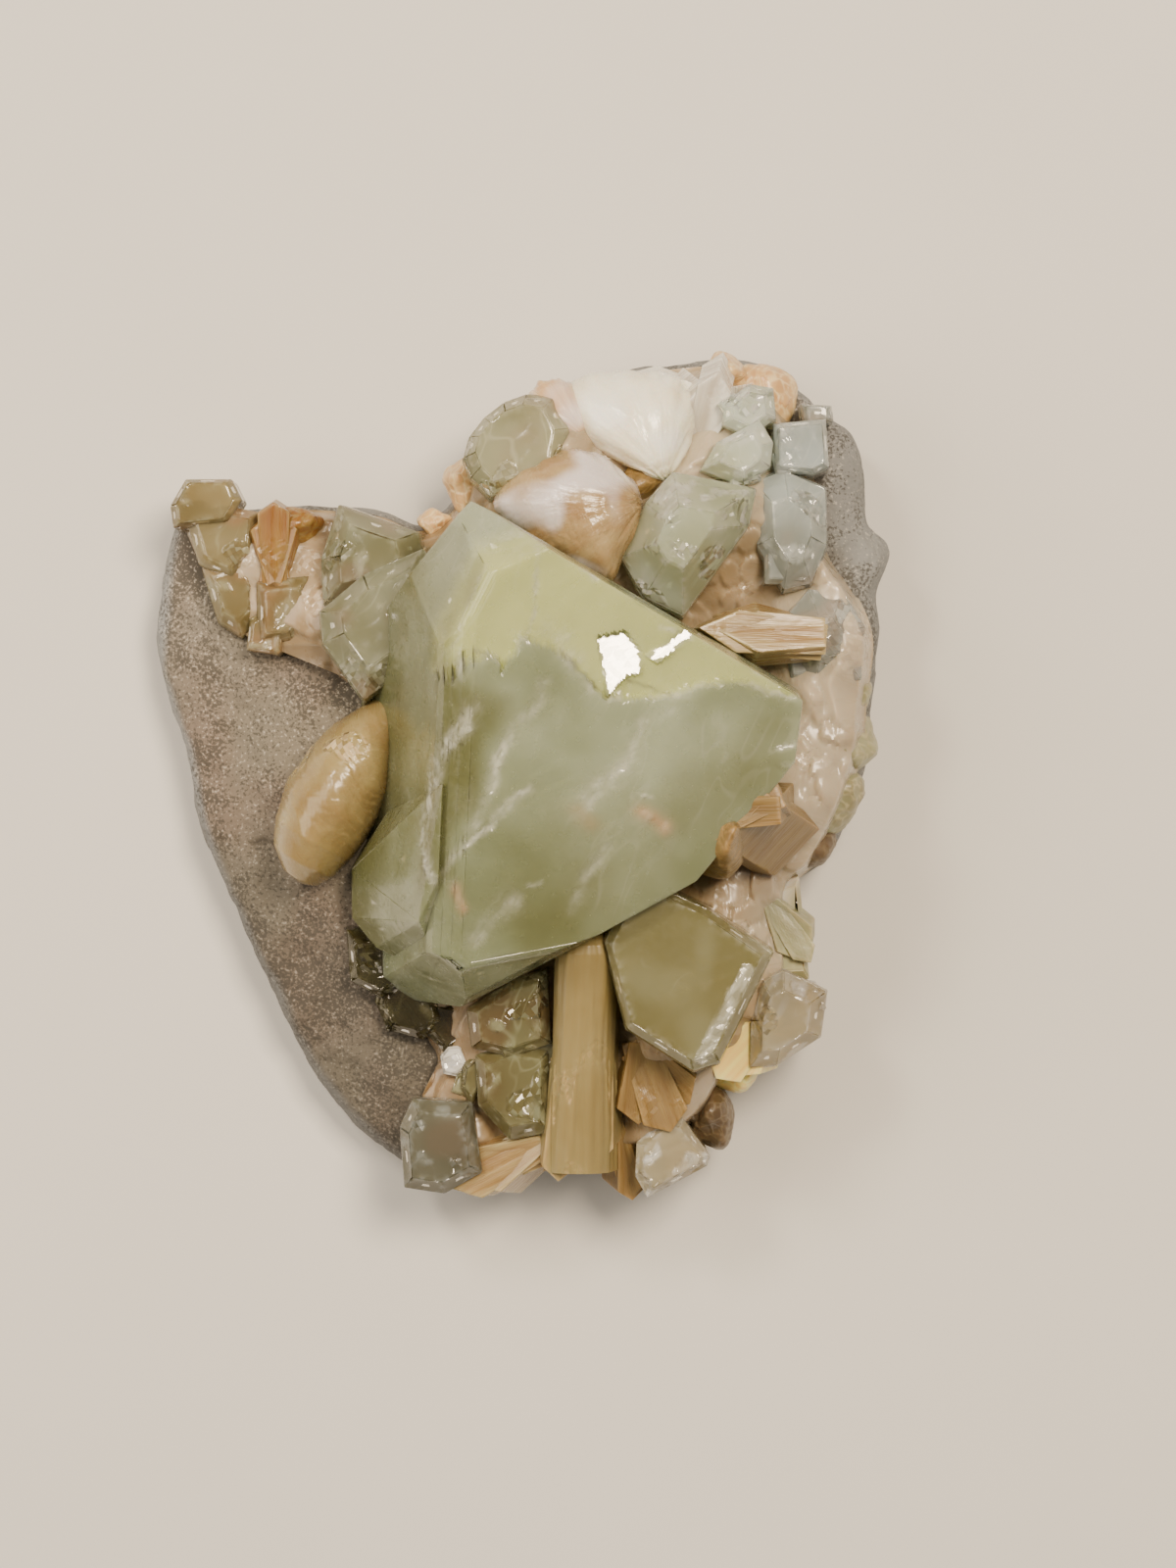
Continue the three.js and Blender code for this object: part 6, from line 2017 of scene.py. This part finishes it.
class Stilbites(Family):
    """All the stilbites: bows, columns, fans, sheaves of blades and rounded lumps."""

    @staticmethod
    def relief(seed: float, groove: float = 0.07) -> Relief:
        """Wear of a striated blade."""
        return Relief(seed, 0.55, 0.14, 0.05, 0.04, groove)

    def groups(self) -> list[Group]:
        """The groups from the blades beside the main crystal to the lumps on the rim.

        Returns:
            The groups, in the order in which they are made.
        """
        r = self.relief
        return [
            Group("bow_of_stilbite", "left_stilbite_bow", Finish.BOW, [Bow()], r(60)),
            Group("upright_blade_of_stilbite", "upright_stilbite_blade", Finish.COLUMN, [
                Column(), Blade((10.5, -26, 24.5), -92, -12, 12, 24, 5.2, 6, 3),
                Blade((5.4, -36, 23), -94, -14, -10, 15.5, 4.4, 5, 2)], r(61)),
            Group("pearly_fan", "pearly_stilbite_fan", Finish.PEARL, [
                Shield([(-3.4, 34.8), (-0.6, 38.9), (4.9, 41.2), (7.5, 41.4), (9.8, 40.5), (12.6, 38.6),
                        (14.6, 36.6),
                        (15.3, 33.5), (14.6, 30.8), (13.1, 27.6), (11.6, 24.6), (7.4, 25.8), (2.4, 28.8),
                        (-1, 31.4)],
                       (15.6, 34.4), [(31.6, 0.42), (30.4, 0.72), (28.2, 0.92), (25.6, 1.0), (SEAT, 0.96)],
                       (0.1, -0.02))], r(62)),
            Group("white_fan", "white_stilbite_fan", Finish.WHITE, [
                Shield([(7.6, 43), (5.6, 46.6), (5.2, 49.4), (8.4, 51.2), (13.4, 51.8), (18, 51.4),
                        (20.8, 50.2),
                        (22.2, 46.4), (21.6, 41.6), (19.6, 38), (17, 37.2), (13.4, 39.2), (10, 41.2)],
                       (18.4, 37.2), [(27.6, 0.4), (26.4, 0.72), (24.2, 0.92), (21.6, 1.0), (SEAT, 1.0)],
                       (0.08, -0.12)),
                Blade((17, 41, 16), 88, 10, 0, 11.4, 9, 9, 1.4)], r(63)),
            Group("grey_blades", "grey_stilbite_blades", Finish.GREY, [
                Sheaf((22.4, 40.6, 17), 76, 24, 3, 34, 14, 4.4, 8, 0, 2.4)], r(64)),
            Group("peach_lumps_on_the_rim", "peach_rim_stilbite", Finish.PEACH, [
                Lump((30.6, 48.6, 12.5), (5, 4.9, 6.4), 20), Lump((26.4, 52, 12), (3.2, 2.9, 6))], r(65)),
            Group("small_orange_lump", "small_orange_stilbite", Finish.ORANGE, [
                Lump((17.4, 38.4, 18), (4.6, 3.6, 8), 40, 0.16)], r(66)),
            Group("peach_fan_at_the_top", "peach_top_stilbite", Finish.PEACH, [
                Shield([(1.8, 44.4), (0.6, 47.6), (2.2, 50.2), (5.6, 50.6), (7.8, 48.6), (9.2, 44.8), (8, 42),
                        (4.6, 42.4)],
                       (8.6, 42.6), [(25.6, 0.4), (24.6, 0.72), (22.6, 0.93), (20, 1.0), (SEAT, 1.0)],
                       (0.02, -0.1))], r(67)),
            Group("silky_blade", "silky_stilbite_blade", Finish.SILKY, [
                Sheaf((38, 17.2, 25), 175, 10, 3, 9, 17, 5.4, 6, 0, 5, 2)], r(68, 0.1)),
            Group("peach_lumps_in_the_notch", "notch_stilbite", Finish.PEACH, [
                Lump((-7.4, 37.6, 14.5), (2.5, 3.6, 4.6), 12), Lump((-11.2, 32.6, 13), (2.1, 1.8, 3.6))],
                r(69)),
            Group("orange_band", "band_stilbite", Finish.BAND, [
                Sheaf((-31.6, 24, 16), 90, 8, 3, 24, 11.8, 4.2, 5, 0, 1.4),
                Lump((-29, 32.2, 16), (3.6, 3, 3.8), 10)], r(70)),
            Group("cream_lumps", "right_stilbite_lumps", Finish.CREAM, [
                Lump((41.4, 4.2, 15), (4.6, 4.2, 7.4), 10), Lump((39.4, -2.6, 14), (4.6, 4.4, 7.6), -20),
                Lump((36.8, 7.6, 16), (4.2, 3.8, 8.6)), Lump((41.4, 10.4, 15), (3.6, 3, 7.6))], r(71)),
            Group("violet_lumps", "violet_crust", Finish.VIOLET, [
                Lump((35.6, -8.6, 13), (4.8, 4, 6.6), 20, 0.18),
                Lump((30, -13.6, 13), (5.4, 3.2, 6.4), -20, 0.18)],
                r(72)),
            Group("orange_sheaf_on_the_right", "right_orange_stilbite", Finish.ORANGE, [
                Sheaf((33.4, -3.4, 32), 202, -4, 3, 40, 12.6, 4.8, 17, 10, 1.8),
                Lump((25, -8.4, 29), (4.4, 4.2, 13.5), 20, 0.1)], r(73)),
            Group("peach_sheaf_at_the_lower_left", "lower_left_stilbite", Finish.SILKY, [
                Sheaf((3.4, -46.4, 16), 207, -6, 3, 20, 14, 5.8, 8, 0, 3),
                Lump((-4.6, -51.3, 13), (4.8, 2.9, 6), 18)], r(74)),
            Group("orange_fan_of_blades", "bottom_stilbite_fan", Finish.ORANGE, [
                Sheaf((14.6, -33, 20), -70, -4, 3, 50, 13, 6, 9, 0, 2),
                Sheaf((12.4, -43, 15), -80, -6, 2, 12, 12.8, 3.6, 7, 0, 1.4)], r(75)),
            Group("violet_lumps_at_the_lower_right", "bottom_right_stilbite", Finish.VIOLET, [
                Lump((24.8, -44.3, 13), (2.9, 4.1, 6), 12, 0.14),
                Lump((20.8, -40.6, 13.5), (4, 3.2, 7), -30, 0.16)],
                r(76)),
            Group("yellow_sheaf", "yellow_stilbite", Finish.YELLOW, [
                Sheaf((32.4, -29.4, 18), 230, -4, 3, 34, 12, 5.4, 8, 0, 1.6),
                Lump((27.6, -37.6, 13), (4, 2.8, 6.6), 40, 0.14)], r(77)),
            Group("cream_sheaf", "cream_stilbite", Finish.CREAM, [
                Block([(27.4, -16.6), (32, -13.8), (35.6, -12.6), (35.4, -19), (37, -26.2), (33, -26.4),
                       (30, -22)],
                      [(18.8, 0.8), (17.4, 0.97), (SEAT, 1.02)], (0.02, 0.05)),
                Sheaf((31, -15, 18), -56, 0, 3, 26, 11, 3.4, 4, 0, 1.6)], r(78)),
        ]


# ---- studio -----------------------------------------------------------------------------------


@dataclass
class Studio:
    """Pale floor, soft light and the camera looking straight down on the specimen."""

    camera_at: Point = (0.0085, -0.001, 0.5756)
    lens: float = 100.0
    sensor: float = 36.0
    floor_reach: float = 1.2
    floor_points: int = 9
    aim: Point = (0.0, 0.0, 0.03)

    def floor(self) -> None:
        """Level floor: a grid whose height is nought everywhere."""
        line = np.linspace(-self.floor_reach, self.floor_reach, self.floor_points)
        x, y = np.meshgrid(line, line)
        points = np.stack([x, y, np.zeros_like(x)], axis=-1).reshape(-1, 3)
        index = np.arange(x.size).reshape(x.shape)
        quads = np.stack([index[:-1, :-1], index[:-1, 1:], index[1:, 1:], index[1:, :-1]], axis=-1)
        mesh = bpy.data.meshes.new("pale_floor")
        mesh.from_pydata(points.tolist(), [], quads.reshape(-1, 4).tolist())
        made, w, shader = new_material("floor_paper")
        paper = w.blend(w.noise(w.here(), 40.0, 3.0), colour("d9d6d0"), colour("dddad5"))
        w.feed(shader, {"Base Color": paper, "Roughness": 0.9})
        mesh.materials.append(made)
        new_object("pale_floor", mesh)

    def lamp(self, name: str, at: Point, size: float, power: float, tint: str) -> None:
        """Square soft light that faces the middle of the specimen.

        Args:
            name: the light's name.
            at: where it stands, in metres.
            size: length of its side in metres.
            power: its power in watts.
            tint: its screen colour.
        """
        data = bpy.data.lights.new(name, "AREA")
        data.size = size
        data.energy = power
        data.color = colour(tint)[:3]
        lamp = new_object(name, data)
        lamp.location = at
        lamp.rotation_euler = (Vector(self.aim) - Vector(at)).to_track_quat("-Z", "Y").to_euler()

    def build(self) -> None:
        """Makes floor, lights, surrounding light and camera."""
        self.floor()
        self.lamp("key_light", (0.2, 0.2, 0.74), 0.22, 8.0, "ffe9cb")
        self.lamp("sparkle_light", (-0.3, 0.36, 0.66), 0.14, 2.4, "ffeed8")
        self.lamp("fill_light", (-0.5, 0.05, 0.5), 0.5, 3.6, "ffeed8")
        world = bpy.data.worlds.new("soft_room")
        world.use_nodes = True
        Wiring(world.node_tree).feed(world.node_tree.nodes["Background"],
                                     {"Color": colour("f2ebde"), "Strength": 0.3})
        bpy.context.scene.world = world
        data = bpy.data.cameras.new("camera")
        data.lens = self.lens
        data.sensor_width = self.sensor
        data.clip_end = 10.0
        camera = new_object("camera", data)
        camera.location = self.camera_at
        bpy.context.scene.camera = camera


def main() -> None:
    """Builds the specimen and its studio."""
    logging.basicConfig(level=logging.INFO, format="%(name)s: %(message)s")
    Studio().build()
    Matrix().build()
    Crust().build()
    LargeApophyllite().build()
    Apophyllites().build()
    Stilbites().build()


if __name__ == "__main__":
    main()
